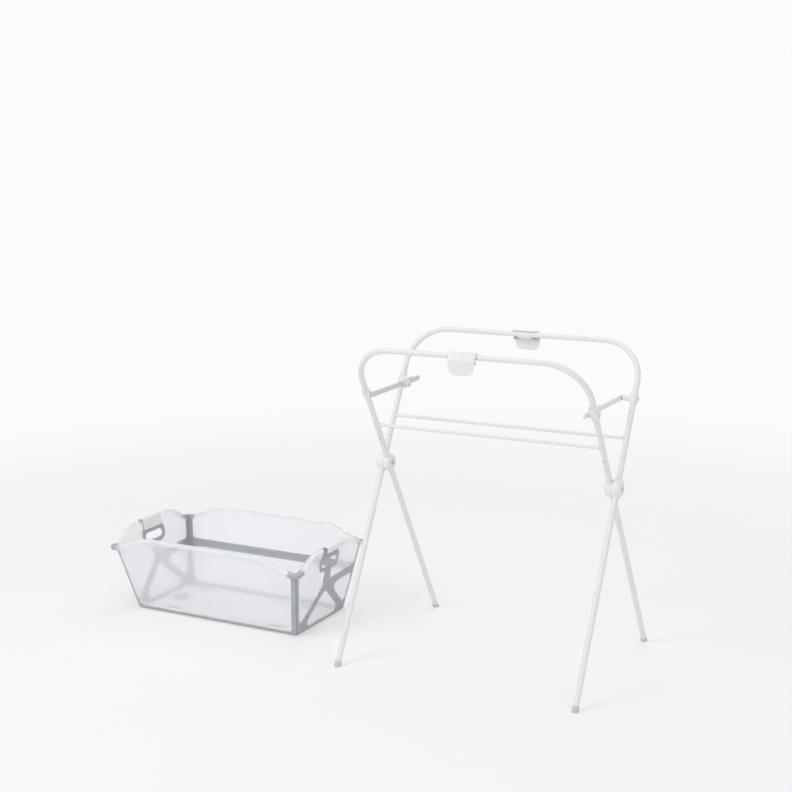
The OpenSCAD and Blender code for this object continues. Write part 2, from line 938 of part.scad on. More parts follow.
module front_facet_field(side) {
    polygon(rounded(front_facet_points(front_band(side), band_half, stem_half, -2 * lip_down),
        [panel_r, panel_r, 0, 0, 0]));
}

module top_facet_shape() {
    polygon(rounded(top_facet_points(skin_gap, skin_gap, skin_gap, 0), [0, 0, 0, 45, 0]));
}

module top_facet_field(side) {
    polygon(rounded(top_facet_points(rear_band(side), band_half, stem_half, -2 * lip_down),
        [panel_r, panel_r, 0, 0, 0]));
}

// Area of the soft ring round the handle slot
module handle_area(grow) {
    half = slot_w / 2 + ring_side + grow;
    low = grip_h - slot_h / 2 - ring_side - grow;
    high = grip_h + slot_h / 2 + ring_top + grow;
    r = slot_h / 2 + ring_side;
    polygon(rounded([[-half, low], [half, low], [half, high], [-half, high]], [r, r, r, r]));
}

// Area under the lock clip, from a height on the slope up past the rim
module clip_area(grow, from) {
    translate([-clip_w / 2 - grow, from])
        square([clip_w + 2 * grow, 2 * rim_top]);
}

module facet_cuts() {
    handle_area(0);
    clip_area(touch, rim_top - clip_h);
}

// A facet that reaches the rim; its rolled rim ends short of the lock clip by lip_gap
module rim_facet_body(lip_gap) {
    linear_extrude(height = wall_t)
        difference() {
            children();
            facet_cuts();
        }
    rolled_rim()
        difference() {
            children();
            clip_area(lip_gap, 0);
        }
}

module facet_field() {
    translate([0, 0, -1])
        linear_extrude(height = wall_t + lip_out + 2)
            children();
}

module front_facet(side) {
    color(frosted)
        end_frame(side)
            intersection() {
                rim_facet_body(front_lip_gap)
                    front_facet_shape();
                facet_field()
                    front_facet_field(side);
            }
}

module front_facet_border(side) {
    color(soft_grey)
        end_frame(side)
            difference() {
                rim_facet_body(front_lip_gap)
                    front_facet_shape();
                facet_field()
                    front_facet_field(side);
            }
}

module top_facet(side) {
    color(frosted)
        end_frame(side)
            intersection() {
                rim_facet_body(touch)
                    top_facet_shape();
                facet_field()
                    top_facet_field(side);
            }
}

module top_facet_border(side) {
    color(soft_grey)
        end_frame(side)
            difference() {
                rim_facet_body(touch)
                    top_facet_shape();
                facet_field()
                    top_facet_field(side);
            }
}

module floor_facet_field() {
    polygon(rounded(floor_facet_points(foot_band, band_half), [panel_r, panel_r, panel_r]));
}

module floor_facet(side) {
    color(frosted)
        end_frame(side)
            linear_extrude(height = wall_t)
                floor_facet_field();
}

module floor_facet_border(side) {
    color(soft_grey)
        end_frame(side)
            linear_extrude(height = wall_t)
                difference() {
                    polygon(floor_facet_points(skin_gap, skin_gap));
                    floor_facet_field();
                }
}

module rear_facet_field(side) {
    polygon(rounded(rear_facet_points(rear_band(side), band_half), [panel_r, panel_r, panel_r]));
}

module rear_facet(side) {
    color(frosted)
        end_frame(side)
            linear_extrude(height = wall_t)
                rear_facet_field(side);
}

module rear_facet_border(side) {
    color(soft_grey)
        end_frame(side)
            linear_extrude(height = wall_t)
                difference() {
                    polygon(rear_facet_points(skin_gap, skin_gap));
                    rear_facet_field(side);
                }
}

// Soft ring round the handle slot, and the web under the lock clip
module grip(side) {
    color(soft_grey)
        end_frame(side) {
            difference() {
                translate([0, 0, -1])
                    linear_extrude(height = wall_t + 2)
                        difference() {
                            handle_area(-skin_gap);
                            clip_area(touch, rim_top - clip_h - touch);
                        }
                translate([0, 0, -wall_t])
                    linear_extrude(height = 3 * wall_t)
                        slot_shape();
            }
            translate([-clip_w / 2, rim_top - clip_h - touch, 0])
                cube([clip_w, clip_h, wall_t]);
        }
}

module slot_shape() {
    low = grip_h - slot_h / 2;
    polygon(rounded([[-slot_w / 2, low], [slot_w / 2, low], [slot_w / 2, low + slot_h],
        [-slot_w / 2, low + slot_h]], [12, 12, 12, 12]));
}

// Lock clip, a channel over the rim that holds the end wall straight
module lock_clip(side) {
    inner = -clip_t - touch;
    outer = clip_outer - clip_t;
    low = rim_top - clip_h;
    color(warm_plastic)
        end_frame(side)
            translate([-clip_w / 2, 0, 0])
                rotate([90, 0, 90])
                    linear_extrude(height = clip_w)
                        polygon(rounded([[low, inner], [low, -touch], [rim_top, -touch], [rim_top, outer],
                            [rim_top - lip_down - 4, outer], [rim_top - lip_down - 4, outer + clip_t],
                            [rim_top + clip_t, outer + clip_t], [rim_top + clip_t, inner]],
                            [0, 0, 0, 2, 0, 0, clip_r, clip_r]));
}

upper_hoop(FRONT, front_half_w);  // front_hoop
crossbar(FRONT, front_half_w);  // front_crossbar
lower_legs(FRONT, front_half_w);  // front_legs
feet(FRONT, front_half_w);  // front_feet
pivot_sleeves();
pivot_bolts();
stay_clamps(FRONT, front_half_w);  // front_stay_clamps
hoop_fasteners(FRONT, front_half_w);  // front_fasteners
upper_hoop(REAR, rear_half_w);  // rear_hoop
crossbar(REAR, rear_half_w);  // rear_crossbar
lower_legs(REAR, rear_half_w);  // rear_legs
feet(REAR, rear_half_w);  // rear_feet
pivot_housings();
stay_clamps(REAR, rear_half_w);  // rear_stay_clamps
hoop_fasteners(REAR, rear_half_w);  // rear_fasteners
snap_button(FRONT, front_half_w, LEFT);  // front_left_button
snap_button(FRONT, front_half_w, RIGHT);  // front_right_button
snap_button(REAR, rear_half_w, LEFT);  // rear_left_button
snap_button(REAR, rear_half_w, RIGHT);  // rear_right_button
latch_saddle(FRONT);  // front_latch_saddle
latch_saddle(REAR);  // rear_latch_saddle
latch_cover(FRONT);  // front_latch_cover
latch_cover(REAR);  // rear_latch_cover
stay_bar(LEFT);  // left_stay_bar
stay_bar(RIGHT);  // right_stay_bar
stay_guide(LEFT);  // left_stay_guide
stay_guide(RIGHT);  // right_stay_guide
clamp_knob(LEFT);  // left_clamp_knob
clamp_knob(RIGHT);  // right_clamp_knob
base_panel();
base_border();
base_pads();
drain_plug();
front_wall();
front_border();
rear_lower_wall();
rear_lower_border();
rear_upper_wall();
rear_upper_border();
front_facet(LEFT);  // left_front_facet
front_facet_border(LEFT);  // left_front_border
floor_facet(LEFT);  // left_floor_facet
floor_facet_border(LEFT);  // left_floor_border
rear_facet(LEFT);  // left_rear_facet
rear_facet_border(LEFT);  // left_rear_border
top_facet(LEFT);  // left_top_facet
top_facet_border(LEFT);  // left_top_border
grip(LEFT);  // left_grip
lock_clip(LEFT);  // left_lock_clip
front_facet(RIGHT);  // right_front_facet
front_facet_border(RIGHT);  // right_front_border
floor_facet(RIGHT);  // right_floor_facet
floor_facet_border(RIGHT);  // right_floor_border
rear_facet(RIGHT);  // right_rear_facet
rear_facet_border(RIGHT);  // right_rear_border
top_facet(RIGHT);  // right_top_facet
top_facet_border(RIGHT);  // right_top_border
grip(RIGHT);  // right_grip
lock_clip(RIGHT);  // right_lock_clip
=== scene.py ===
"""Looks of a folding baby bath that stands beside its folding tube stand.

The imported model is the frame: every piece here stays where the frame has it and rides on one of
its bodies. Lengths in the classes are millimetres, as in the part's source, and become metres
when a mesh is placed.
"""

import json
import logging
import math
from dataclasses import dataclass, field
from enum import Enum
from typing import Iterable, Sequence

import bmesh
import bpy
from mathutils import Matrix, Vector

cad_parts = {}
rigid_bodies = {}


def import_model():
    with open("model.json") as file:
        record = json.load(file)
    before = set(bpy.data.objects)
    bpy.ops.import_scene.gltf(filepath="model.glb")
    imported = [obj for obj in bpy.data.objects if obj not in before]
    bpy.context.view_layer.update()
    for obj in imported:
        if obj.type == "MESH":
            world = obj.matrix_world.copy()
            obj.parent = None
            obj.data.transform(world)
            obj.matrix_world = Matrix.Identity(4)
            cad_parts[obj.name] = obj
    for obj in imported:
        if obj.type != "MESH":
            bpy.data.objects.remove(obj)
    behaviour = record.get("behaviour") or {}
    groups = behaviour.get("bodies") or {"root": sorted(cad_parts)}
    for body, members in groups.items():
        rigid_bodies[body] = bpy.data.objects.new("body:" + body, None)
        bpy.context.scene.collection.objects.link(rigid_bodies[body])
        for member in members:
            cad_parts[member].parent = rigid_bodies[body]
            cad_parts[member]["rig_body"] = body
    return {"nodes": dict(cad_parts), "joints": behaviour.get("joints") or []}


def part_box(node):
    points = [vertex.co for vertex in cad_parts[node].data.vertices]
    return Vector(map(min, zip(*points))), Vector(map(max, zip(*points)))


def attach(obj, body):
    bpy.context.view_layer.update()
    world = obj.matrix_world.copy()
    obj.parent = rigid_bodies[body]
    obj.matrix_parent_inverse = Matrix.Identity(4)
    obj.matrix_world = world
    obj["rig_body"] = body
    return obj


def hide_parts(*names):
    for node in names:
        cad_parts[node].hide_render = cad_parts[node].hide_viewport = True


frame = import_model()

LOG = logging.getLogger("bath_set")
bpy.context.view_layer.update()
MM = 0.001
TO_METRES = Matrix.Scale(MM, 4)
QUARTER_TURN = math.pi / 2
ARC_STEPS = 12
MERGE_DISTANCE = 1e-4
CAD_MERGE_DISTANCE = 2e-6
FLAT_ANGLE = math.radians(0.6)
DUST_TONE = (0.72, 0.71, 0.69)
PAGE_WHITE = (0.965, 0.965, 0.97)

Flat = Sequence[float]
Outline = list[Vector]
Span = tuple[float, float]
Rim = tuple[int, int]
Run = list[tuple[Vector, Vector]]
Tone = tuple[float, float, float]
Inputs = dict[str | int, object]


class Slot(Enum):
    """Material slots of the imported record."""

    COAT = "white_coat"
    WARM = "warm_plastic"
    GREY = "grey_plastic"
    STEEL = "steel"
    FROSTED = "frosted"
    SOFT = "soft_grey"


class NamedPart(Enum):
    """A choice whose own name is the word in the names of nodes and bodies."""

    @property
    def word(self) -> str:
        """The name as the nodes and bodies use it."""
        return self.name.lower()


class Side(NamedPart):
    """Which end of the bath or which side of the stand."""

    LEFT = -1
    RIGHT = 1


class Hoop(NamedPart):
    """Which hoop of the stand, named after where its top bar is."""

    FRONT = 1
    REAR = -1


class Carve(Enum):
    """How one solid changes another."""

    CUT = "DIFFERENCE"
    KEEP = "INTERSECT"
    JOIN = "UNION"


class Socket(Enum):
    """Socket types of the node groups."""

    FLOAT = "NodeSocketFloat"
    INT = "NodeSocketInt"
    COLOR = "NodeSocketColor"
    OBJECT = "NodeSocketObject"
    MATERIAL = "NodeSocketMaterial"
    GEOMETRY = "NodeSocketGeometry"


# Node trees

class NodeSheet:
    """A node tree with short ways to add nodes and to feed them."""

    def __init__(self, tree: bpy.types.NodeTree) -> None:
        """Wraps the tree that nodes are added to."""
        self.tree = tree

    def feed(self, node: bpy.types.Node, inputs: Inputs) -> None:
        """Sets or links inputs of a node.

        Args:
            node: The node.
            inputs: By name or number, another node's output, a value or an opaque colour.
        """
        for name, value in inputs.items():
            if isinstance(value, bpy.types.NodeSocket):
                self.tree.links.new(value, node.inputs[name])
            else:
                value = (*value, 1.0) if isinstance(value, tuple) else value
                node.inputs[name].default_value = value

    def add(self, kind: str, inputs: Inputs | None = None, **settings: object) -> bpy.types.Node:
        """Adds a node.

        Args:
            kind: The node's type name.
            inputs: Its inputs, as feed takes them.
            **settings: Properties of the node to set.

        Returns:
            The new node.
        """
        node = self.tree.nodes.new(kind)
        for name, value in settings.items():
            setattr(node, name, value)
        self.feed(node, inputs or {})
        return node

    def reckoned(self, operation: str, *values: object) -> bpy.types.NodeSocket:
        """The result of a Math node on two or three values."""
        inputs = dict(enumerate(values))
        return self.add("ShaderNodeMath", inputs, operation=operation).outputs["Value"]

    def mixed(self, share: object, one: object, two: object, kind: str = "RGBA") -> bpy.types.NodeSocket:
        """A mix of two colours, or of two numbers where the kind is FLOAT."""
        inputs = {"Factor": share, "A": one, "B": two}
        return self.add("ShaderNodeMix", inputs, data_type=kind).outputs["Result"]

    def own_place(self) -> bpy.types.NodeSocket:
        """Each point's Object coordinates."""
        return self.add("ShaderNodeTexCoord").outputs["Object"]

    def noise(self, scale: object, detail: float) -> bpy.types.NodeSocket:
        """A noise on Object coordinates."""
        inputs = {"Vector": self.own_place(), "Scale": scale, "Detail": detail}
        return self.add("ShaderNodeTexNoise", inputs).outputs["Fac"]

    def ramp(self, value: bpy.types.NodeSocket, low: float, high: float, to_low: float = 0.0,
             to_high: float = 1.0) -> bpy.types.NodeSocket:
        """Maps a value from one range to another, clamped and smooth.

        Args:
            value: The socket to map.
            low: Where the mapping starts.
            high: Where the mapping ends.
            to_low: The result at the start.
            to_high: The result at the end.

        Returns:
            The mapped value's socket.
        """
        inputs = {"Value": value, "From Min": low, "From Max": high, "To Min": to_low, "To Max": to_high}
        return self.add("ShaderNodeMapRange", inputs, interpolation_type="SMOOTHSTEP").outputs["Result"]


class GroupSheet(NodeSheet):
    """A node group with named sockets."""

    def __init__(self, name: str, kind: str, takes: dict[str, Socket], gives: dict[str, Socket]) -> None:
        """Starts the group.

        Args:
            name: The group's name.
            kind: The type of its tree.
            takes: Its inputs by name.
            gives: Its outputs by name.
        """
        super().__init__(bpy.data.node_groups.new(name, kind))
        for way, sockets in (("INPUT", takes), ("OUTPUT", gives)):
            for socket, of in sockets.items():
                self.tree.interface.new_socket(name=socket, in_out=way, socket_type=of.value)
        self.source = self.add("NodeGroupInput")

    def taken(self, name: str) -> bpy.types.NodeSocket:
        """The value that comes in under a name."""
        return self.source.outputs[name]

    def end(self, results: Inputs) -> bpy.types.NodeTree:
        """Feeds the group's outputs and returns its tree."""
        self.add("NodeGroupOutput", results)
        return self.tree


class TintSheet(GroupSheet):
    """A shader group that moves a colour towards another one by a mask and an amount."""

    def __init__(self, name: str, tint: str, more: Sequence[str] = ()) -> None:
        """Starts the group.

        Args:
            name: The group's name.
            tint: Name of the other colour's input.
            more: Names of further numbers that it takes.
        """
        takes = {"Color": Socket.COLOR, tint: Socket.COLOR, "Amount": Socket.FLOAT}
        takes |= dict.fromkeys(more, Socket.FLOAT)
        gives = {"Color": Socket.COLOR}
        if "Roughness" in more:
            gives["Roughness"] = Socket.FLOAT
        super().__init__(name, "ShaderNodeTree", takes, gives)
        self.tint = tint

    def tinted(self, mask: bpy.types.NodeSocket) -> bpy.types.NodeSocket:
        """The colour, moved by the mask and the group's amount."""
        share = self.reckoned("MULTIPLY", mask, self.taken("Amount"))
        return self.mixed(share, self.taken("Color"), self.taken(self.tint))


class SharedEffects:
    """The surface effects that several finishes use, each a group that is built once.

    Each pair of numbers is the range of a noise or of a slope over which an effect sets in.
    """

    MARKED = (0.42, 0.68)
    SHARP = (0.52, 0.62)
    WORN = (0.35, 0.6)
    LEVEL = (0.6, 1.0)
    CLOUDED = (0.4, 0.7)

    def __init__(self) -> None:
        """Builds all the groups."""
        self.grain = self._grain()
        self.handling = self._handling()
        # Edge wear with a painted highlight: convex edges are lightened in patches.
        self.edges = self._edges()
        self.dust = self._dust()

    def _grain(self) -> bpy.types.NodeTree:
        """Fine moulded or sprayed grain, as a height.

        Returns:
            The group's tree.
        """
        sheet = GroupSheet("Fine grain", "ShaderNodeTree", {"Scale": Socket.FLOAT, "Pebble": Socket.FLOAT},
                           {"Height": Socket.FLOAT})
        scale = sheet.taken("Scale")
        cells = sheet.add("ShaderNodeTexVoronoi", {"Vector": sheet.own_place(), "Scale": scale})
        height = sheet.mixed(sheet.taken("Pebble"), sheet.noise(scale, 3.0), cells.outputs["Distance"],
                             "FLOAT")
        return sheet.end({"Height": height})

    def _handling(self) -> bpy.types.NodeTree:
        """Slow changes of tone and gloss, as from moulding, hands and water.

        Returns:
            The group's tree.
        """
        sheet = TintSheet("Handling marks", "Marked", ("Scale", "Roughness", "Spread"))
        mask = sheet.ramp(sheet.noise(sheet.taken("Scale"), 4.0), *self.MARKED)
        gloss = sheet.reckoned("MULTIPLY_ADD", mask, sheet.taken("Spread"), sheet.taken("Roughness"))
        return sheet.end({"Color": sheet.tinted(mask), "Roughness": gloss})

    def _edges(self) -> bpy.types.NodeTree:
        """Edge wear and painted highlight: a lighter colour in patches on convex edges, standing for wear and
        for light caught on the edges.

        Returns:
            The group's tree.
        """
        sheet = TintSheet("Rubbed edges", "Rubbed")
        sharp = sheet.ramp(sheet.add("ShaderNodeNewGeometry").outputs["Pointiness"], *self.SHARP)
        # Patches of the edge wear and painted highlight.
        edge_patches = sheet.ramp(sheet.noise(140.0, 3.0), *self.WORN, 0.3, 1.0)
        return sheet.end({"Color": sheet.tinted(sheet.reckoned("MULTIPLY", sharp, edge_patches))})

    def _dust(self) -> bpy.types.NodeTree:
        """A breath of dust on the faces that look up.

        Returns:
            The group's tree.
        """
        sheet = TintSheet("Settled dust", "Dust")
        normal = sheet.add("ShaderNodeNewGeometry").outputs["Normal"]
        upward = sheet.add("ShaderNodeSeparateXYZ", {"Vector": normal}).outputs["Z"]
        level = sheet.ramp(upward, *self.LEVEL)
        cloud = sheet.ramp(sheet.noise(30.0, 5.0), *self.CLOUDED)
        return sheet.end({"Color": sheet.tinted(sheet.reckoned("MULTIPLY", level, cloud))})


@dataclass(frozen=True)
class Finish:
    """A surface: its colours, its gloss and the strength of each shared effect."""

    name: str
    slot: Slot
    color: Tone
    marked: Tone
    # Lighter tone of convex edges: wear and a painted highlight.
    rubbed: Tone
    roughness: float
    gloss_spread: float = 0.08
    marks: float = 0.5
    mark_scale: float = 9.0
    # Strength of the edge wear and painted highlight.
    rub: float = 0.4
    dust: float = 0.1
    grain_scale: float = 900.0
    pebble: float = 0.4
    grain_depth: float = 0.00004
    metallic: float = 0.0
    transmission: float = 0.0
    refraction: float = 1.45
    coat: float = 0.0

    def material(self, effects: SharedEffects) -> bpy.types.Material:
        """Builds the material from the shared effects.

        Args:
            effects: The groups to place.

        Returns:
            The material.
        """
        material = bpy.data.materials.new(self.name)
        material.use_nodes = True
        sheet = NodeSheet(material.node_tree)
        handling = sheet.add("ShaderNodeGroup", node_tree=effects.handling)
        # Edge wear and painted highlight: convex edges lightened in patches.
        edges = sheet.add("ShaderNodeGroup", node_tree=effects.edges)
        dust = sheet.add("ShaderNodeGroup", node_tree=effects.dust)
        grain = sheet.add("ShaderNodeGroup", node_tree=effects.grain)
        sheet.feed(handling, {"Color": self.color, "Marked": self.marked, "Amount": self.marks,
                              "Scale": self.mark_scale, "Roughness": self.roughness,
                              "Spread": self.gloss_spread})
        sheet.feed(edges, {"Color": handling.outputs["Color"], "Rubbed": self.rubbed, "Amount": self.rub})
        sheet.feed(dust, {"Color": edges.outputs["Color"], "Dust": DUST_TONE, "Amount": self.dust})
        sheet.feed(grain, {"Scale": self.grain_scale, "Pebble": self.pebble})
        bump = sheet.add("ShaderNodeBump", {"Distance": self.grain_depth, "Height": grain.outputs["Height"]})
        sheet.feed(material.node_tree.nodes["Principled BSDF"], {
            "Base Color": dust.outputs["Color"], "Roughness": handling.outputs["Roughness"],
            "Normal": bump.outputs["Normal"], "Metallic": self.metallic, "Coat Weight": self.coat,
            "Transmission Weight": self.transmission, "IOR": self.refraction})
        return material


FINISHES: dict[str, Finish] = {finish.name: finish for finish in (
    Finish("powder_coat", Slot.COAT, (0.80, 0.80, 0.815), (0.77, 0.77, 0.79), (0.88, 0.88, 0.89), 0.34,
           marks=0.3, rub=0.05, grain_scale=700.0, pebble=0.6, grain_depth=0.000006, coat=0.1),
    Finish("satin_white", Slot.WARM, (0.81, 0.805, 0.80), (0.77, 0.765, 0.755), (0.89, 0.89, 0.88), 0.42,
           grain_scale=1500.0, grain_depth=0.00003),
    Finish("clip_white", Slot.WARM, (0.83, 0.83, 0.83), (0.79, 0.79, 0.785), (0.9, 0.9, 0.9), 0.32,
           marks=0.4, grain_scale=1500.0, grain_depth=0.00002, coat=0.1),
    Finish("foot_grey", Slot.GREY, (0.60, 0.60, 0.605), (0.54, 0.54, 0.55), (0.68, 0.68, 0.685), 0.62,
           marks=0.6, mark_scale=25.0, grain_scale=1100.0, dust=0.3),
    # A greyer finish for the left strap: painted shade on a strap of the same material as the right one.
    Finish("stay_grey", Slot.GREY, (0.66, 0.655, 0.65), (0.61, 0.605, 0.60), (0.74, 0.74, 0.735), 0.5,
           mark_scale=18.0, grain_scale=1200.0),
    Finish("knob_grey", Slot.GREY, (0.70, 0.70, 0.70), (0.64, 0.64, 0.645), (0.78, 0.78, 0.78), 0.45,
           mark_scale=30.0, grain_scale=1300.0),
    Finish("zinc", Slot.STEEL, (0.62, 0.62, 0.63), (0.52, 0.52, 0.54), (0.75, 0.75, 0.76), 0.28,
           marks=0.6, mark_scale=60.0, grain_scale=600.0, grain_depth=0.00002, metallic=1.0),
    Finish("frosted", Slot.FROSTED, (0.97, 0.977, 0.987), (0.945, 0.957, 0.972), (0.985, 0.99, 0.993), 0.20,
           gloss_spread=0.05, marks=0.35, mark_scale=5.0, rub=0.5, dust=0.0, grain_scale=1400.0,
           grain_depth=0.000008, transmission=0.66, refraction=1.10),
    Finish("soft_band", Slot.SOFT, (0.425, 0.44, 0.465), (0.39, 0.405, 0.43), (0.50, 0.515, 0.54), 0.6,
           mark_scale=14.0, rub=0.5, dust=0.15, grain_scale=1600.0, pebble=0.6, grain_depth=0.00005),
)}


# Plane geometry

def vec(x: float, y: float) -> Vector:
    """A point of a flat outline."""
    return Vector((x, y))


def slab(half: float, low: float, high: float, across: float = 0.0) -> Outline:
    """A rectangle from one height to another, with its middle across the wall."""
    return [vec(across - half, low), vec(across + half, low),
            vec(across + half, high), vec(across - half, high)]


def inward_normal(start: Vector, end: Vector) -> Vector:
    """The inward normal of an edge of an anticlockwise outline."""
    edge = (end - start).normalized()
    return vec(-edge.y, edge.x)


def inset(outline: Outline, depths: Sequence[float]) -> Outline:
    """Sets in each edge of an anticlockwise outline.

    Args:
        outline: The outline's corners.
        depths: How far edge i, from corner i to the next, is set in.

    Returns:
        The new corners.
    """
    around = outline[1:] + outline[:1]
    return [corner + corner_shift(outline[i - 1], corner, after, depths[i - 1], depths[i])
            for i, (corner, after) in enumerate(zip(outline, around))]


def corner_shift(before: Vector, corner: Vector, after: Vector, first: float, second: float) -> Vector:
    """How a corner moves when its two edges are set in.

    Args:
        before: The corner before it.
        corner: The corner.
        after: The corner after it.
        first: How far the edge that ends here is set in.
        second: How far the edge that starts here is set in.

    Returns:
        The corner's move.
    """
    one = inward_normal(before, corner)
    two = inward_normal(corner, after)
    turn = one.x * two.y - one.y * two.x
    if abs(turn) < 1e-5:
        return two * second
    return vec((first * two.y - second * one.y) / turn, (second * one.x - first * two.x) / turn)


def rounded(outline: Outline, radii: Sequence[float], steps: int = ARC_STEPS) -> Outline:
    """Rounds the corners of an outline.

    Args:
        outline: The corners.
        radii: The radius of each corner, or zero to keep it.
        steps: Steps in each arc.

    Returns:
        The outline with arcs.
    """
    points: Outline = []
    count = len(outline)
    for i, (corner, radius) in enumerate(zip(outline, radii)):
        if radius <= 0:
            points.append(corner.copy())
            continue
        back = (outline[i - 1] - corner).normalized()
        on = (outline[(i + 1) % count] - corner).normalized()
        half = back.angle(on) / 2
        middle = corner + (back + on).normalized() * radius / math.sin(half)
        first = corner + back * radius / math.tan(half) - middle
        last = corner + on * radius / math.tan(half) - middle
        sweep = first.angle_signed(last)
        points += [middle + turned(first, -sweep * step / steps) for step in range(steps + 1)]
    return points


def turned(arm: Vector, angle: float) -> Vector:
    """An arm turned anticlockwise by an angle."""
    cos, sin = math.cos(angle), math.sin(angle)
    return vec(arm.x * cos - arm.y * sin, arm.x * sin + arm.y * cos)


def arc(middle: Vector, radius: float, start: float, end: float, steps: int = 6) -> Outline:
    """Points of an arc, with its angles in degrees."""
    angles = [math.radians(start + (end - start) * i / steps) for i in range(steps + 1)]
    return [middle + radius * vec(math.cos(angle), math.sin(angle)) for angle in angles]


# Solids

def new_object(name: str, data: bpy.types.ID) -> bpy.types.Object:
    """Links a new object with a mesh, a lamp or a camera to the scene.

    Args:
        name: The object's name.
        data: What it holds.

    Returns:
        The object.
    """
    made = bpy.data.objects.new(name, data)
    bpy.context.scene.collection.objects.link(made)
    return made


def from_bmesh(name: str, shape: bmesh.types.BMesh) -> bpy.types.Object:
    """Turns a shape into an object, and frees it.

    Args:
        name: The object's name.
        shape: The shape.

    Returns:
        The object.
    """
    mesh = bpy.data.meshes.new(name)
    shape.to_mesh(mesh)
    shape.free()
    return new_object(name, mesh)


def closed(name: str, shape: bmesh.types.BMesh) -> bpy.types.Object:
    """Turns a closed shape into an object with merged corners and outward faces.

    Args:
        name: The object's name.
        shape: The shape, which is freed.

    Returns:
        The object.
    """
    bmesh.ops.remove_doubles(shape, verts=shape.verts, dist=MERGE_DISTANCE)
    bmesh.ops.recalc_face_normals(shape, faces=shape.faces)
    return from_bmesh(name, shape)


def prism(outline: Outline, low: float, high: float) -> bpy.types.Object:
    """A flat outline drawn up from one height to another.

    Args:
        outline: The outline.
        low: Height of its bottom.
        high: Height of its top.

    Returns:
        The closed solid.
    """
    shape = bmesh.new()
    bottom = [shape.verts.new((p.x, p.y, low)) for p in outline]
    top = [shape.verts.new((p.x, p.y, high)) for p in outline]
    shape.faces.new(bottom)
    shape.faces.new(top)
    for i in range(len(outline)):
        shape.faces.new((bottom[i - 1], bottom[i], top[i], top[i - 1]))
    return closed("prism", shape)


def ring_faces(shape: bmesh.types.BMesh, rings: Sequence[Sequence[bmesh.types.BMVert]]) -> None:
    """Joins each closed ring of corners to the next one by faces.

    Args:
        shape: The shape that the rings belong to.
        rings: The rings, with as many corners each.
    """
    for one, two in zip(rings, rings[1:]):
        for i in range(len(one)):
            shape.faces.new((one[i - 1], one[i], two[i], two[i - 1]))


def strip(stations: Sequence[Sequence[Vector]]) -> bpy.types.Object:
    """A closed solid through a row of sections with as many points each.

    Args:
        stations: The sections' points, from one end to the other.

    Returns:
        The closed solid.
    """
    shape = bmesh.new()
    rings = [[shape.verts.new(p) for p in station] for station in stations]
    ring_faces(shape, rings)
    shape.faces.new(rings[0])
    shape.faces.new(rings[-1])
    return closed("strip", shape)


def lathe(profile: Sequence[Flat], steps: int = 64) -> bpy.types.Object:
    """A profile of radius and height turned about the z axis.

    Args:
        profile: Pairs of radius and height; the first and last lie on the axis.
        steps: Steps round the axis.

    Returns:
        The closed solid.
    """
    shape = bmesh.new()
    turns = [(math.cos(math.tau * i / steps), math.sin(math.tau * i / steps)) for i in range(steps)]
    ring_faces(shape, [[shape.verts.new((radius * cos, radius * sin, height)) for cos, sin in turns]
                       for radius, height in profile])
    return closed("turned", shape)


def rod(radius: float, low: float, high: float, steps: int) -> bpy.types.Object:
    """A round rod along the z axis."""
    return lathe([(0, low), (radius, low), (radius, high), (0, high)], steps)


def baked(made: bpy.types.Object) -> bpy.types.Object:
    """Applies an object's modifiers, so that a plain mesh is left.

    Args:
        made: The object with modifiers.

    Returns:
        The same object.
    """
    graph = bpy.context.evaluated_depsgraph_get()
    mesh = bpy.data.meshes.new_from_object(made.evaluated_get(graph), preserve_all_data_layers=True,
                                           depsgraph=graph)
    made.modifiers.clear()
    made.data = mesh
    return made


def carve(target: bpy.types.Object, tool: bpy.types.Object, how: Carve) -> bpy.types.Object:
    """Cuts, keeps or joins one closed solid with another.

    Args:
        target: The solid that changes.
        tool: The other solid, which is used up.
        how: What is done.

    Returns:
        The changed solid.
    """
    step = target.modifiers.new("carve", "BOOLEAN")
    step.operation = how.value
    step.solver = "EXACT"
    step.object = tool
    baked(target)
    bpy.data.objects.remove(tool)
    return target


def smoothed(made: bpy.types.Object, edge: float, segments: int = 2, angle: float = 32.0) -> bpy.types.Object:
    """Rounds the hard edges a little and shades the rest smoothly.

    Args:
        made: The solid.
        edge: Width of the rounding, in the mesh's own units, or zero for none.
        segments: Steps across the rounding.
        angle: The least angle of a hard edge, in degrees.

    Returns:
        The finished solid.
    """
    made.data.shade_smooth()
    if edge > 0:
        step = made.modifiers.new("edge", "BEVEL")
        step.width = edge
        step.segments = segments
        step.limit_method = "ANGLE"
        step.angle_limit = math.radians(angle)
        baked(made)
        made.data.shade_smooth()
    made.data.set_sharp_from_angle(angle=math.radians(angle + 8))
    step = made.modifiers.new("normals", "WEIGHTED_NORMAL")
    step.keep_sharp = True
    step.weight = 80
    return baked(made)


def placed(made: bpy.types.Object, matrix: Matrix) -> bpy.types.Object:
    """Moves a mesh into place; a mirrored frame keeps its faces outward.

    Args:
        made: The object whose mesh moves.
        matrix: The move.

    Returns:
        The same object.
    """
    made.data.transform(matrix)
    if matrix.determinant() < 0:
        made.data.flip_normals()
    return made


def joined(parts: Sequence[bpy.types.Object], name: str) -> bpy.types.Object:
    """One object with the meshes of several, which are used up.

    Args:
        parts: The objects.
        name: The new object's name.

    Returns:
        The new object.
    """
    shape = bmesh.new()
    for part in parts:
        shape.from_mesh(part.data)
        bpy.data.objects.remove(part)
    return from_bmesh(name, shape)


# Geometry Nodes

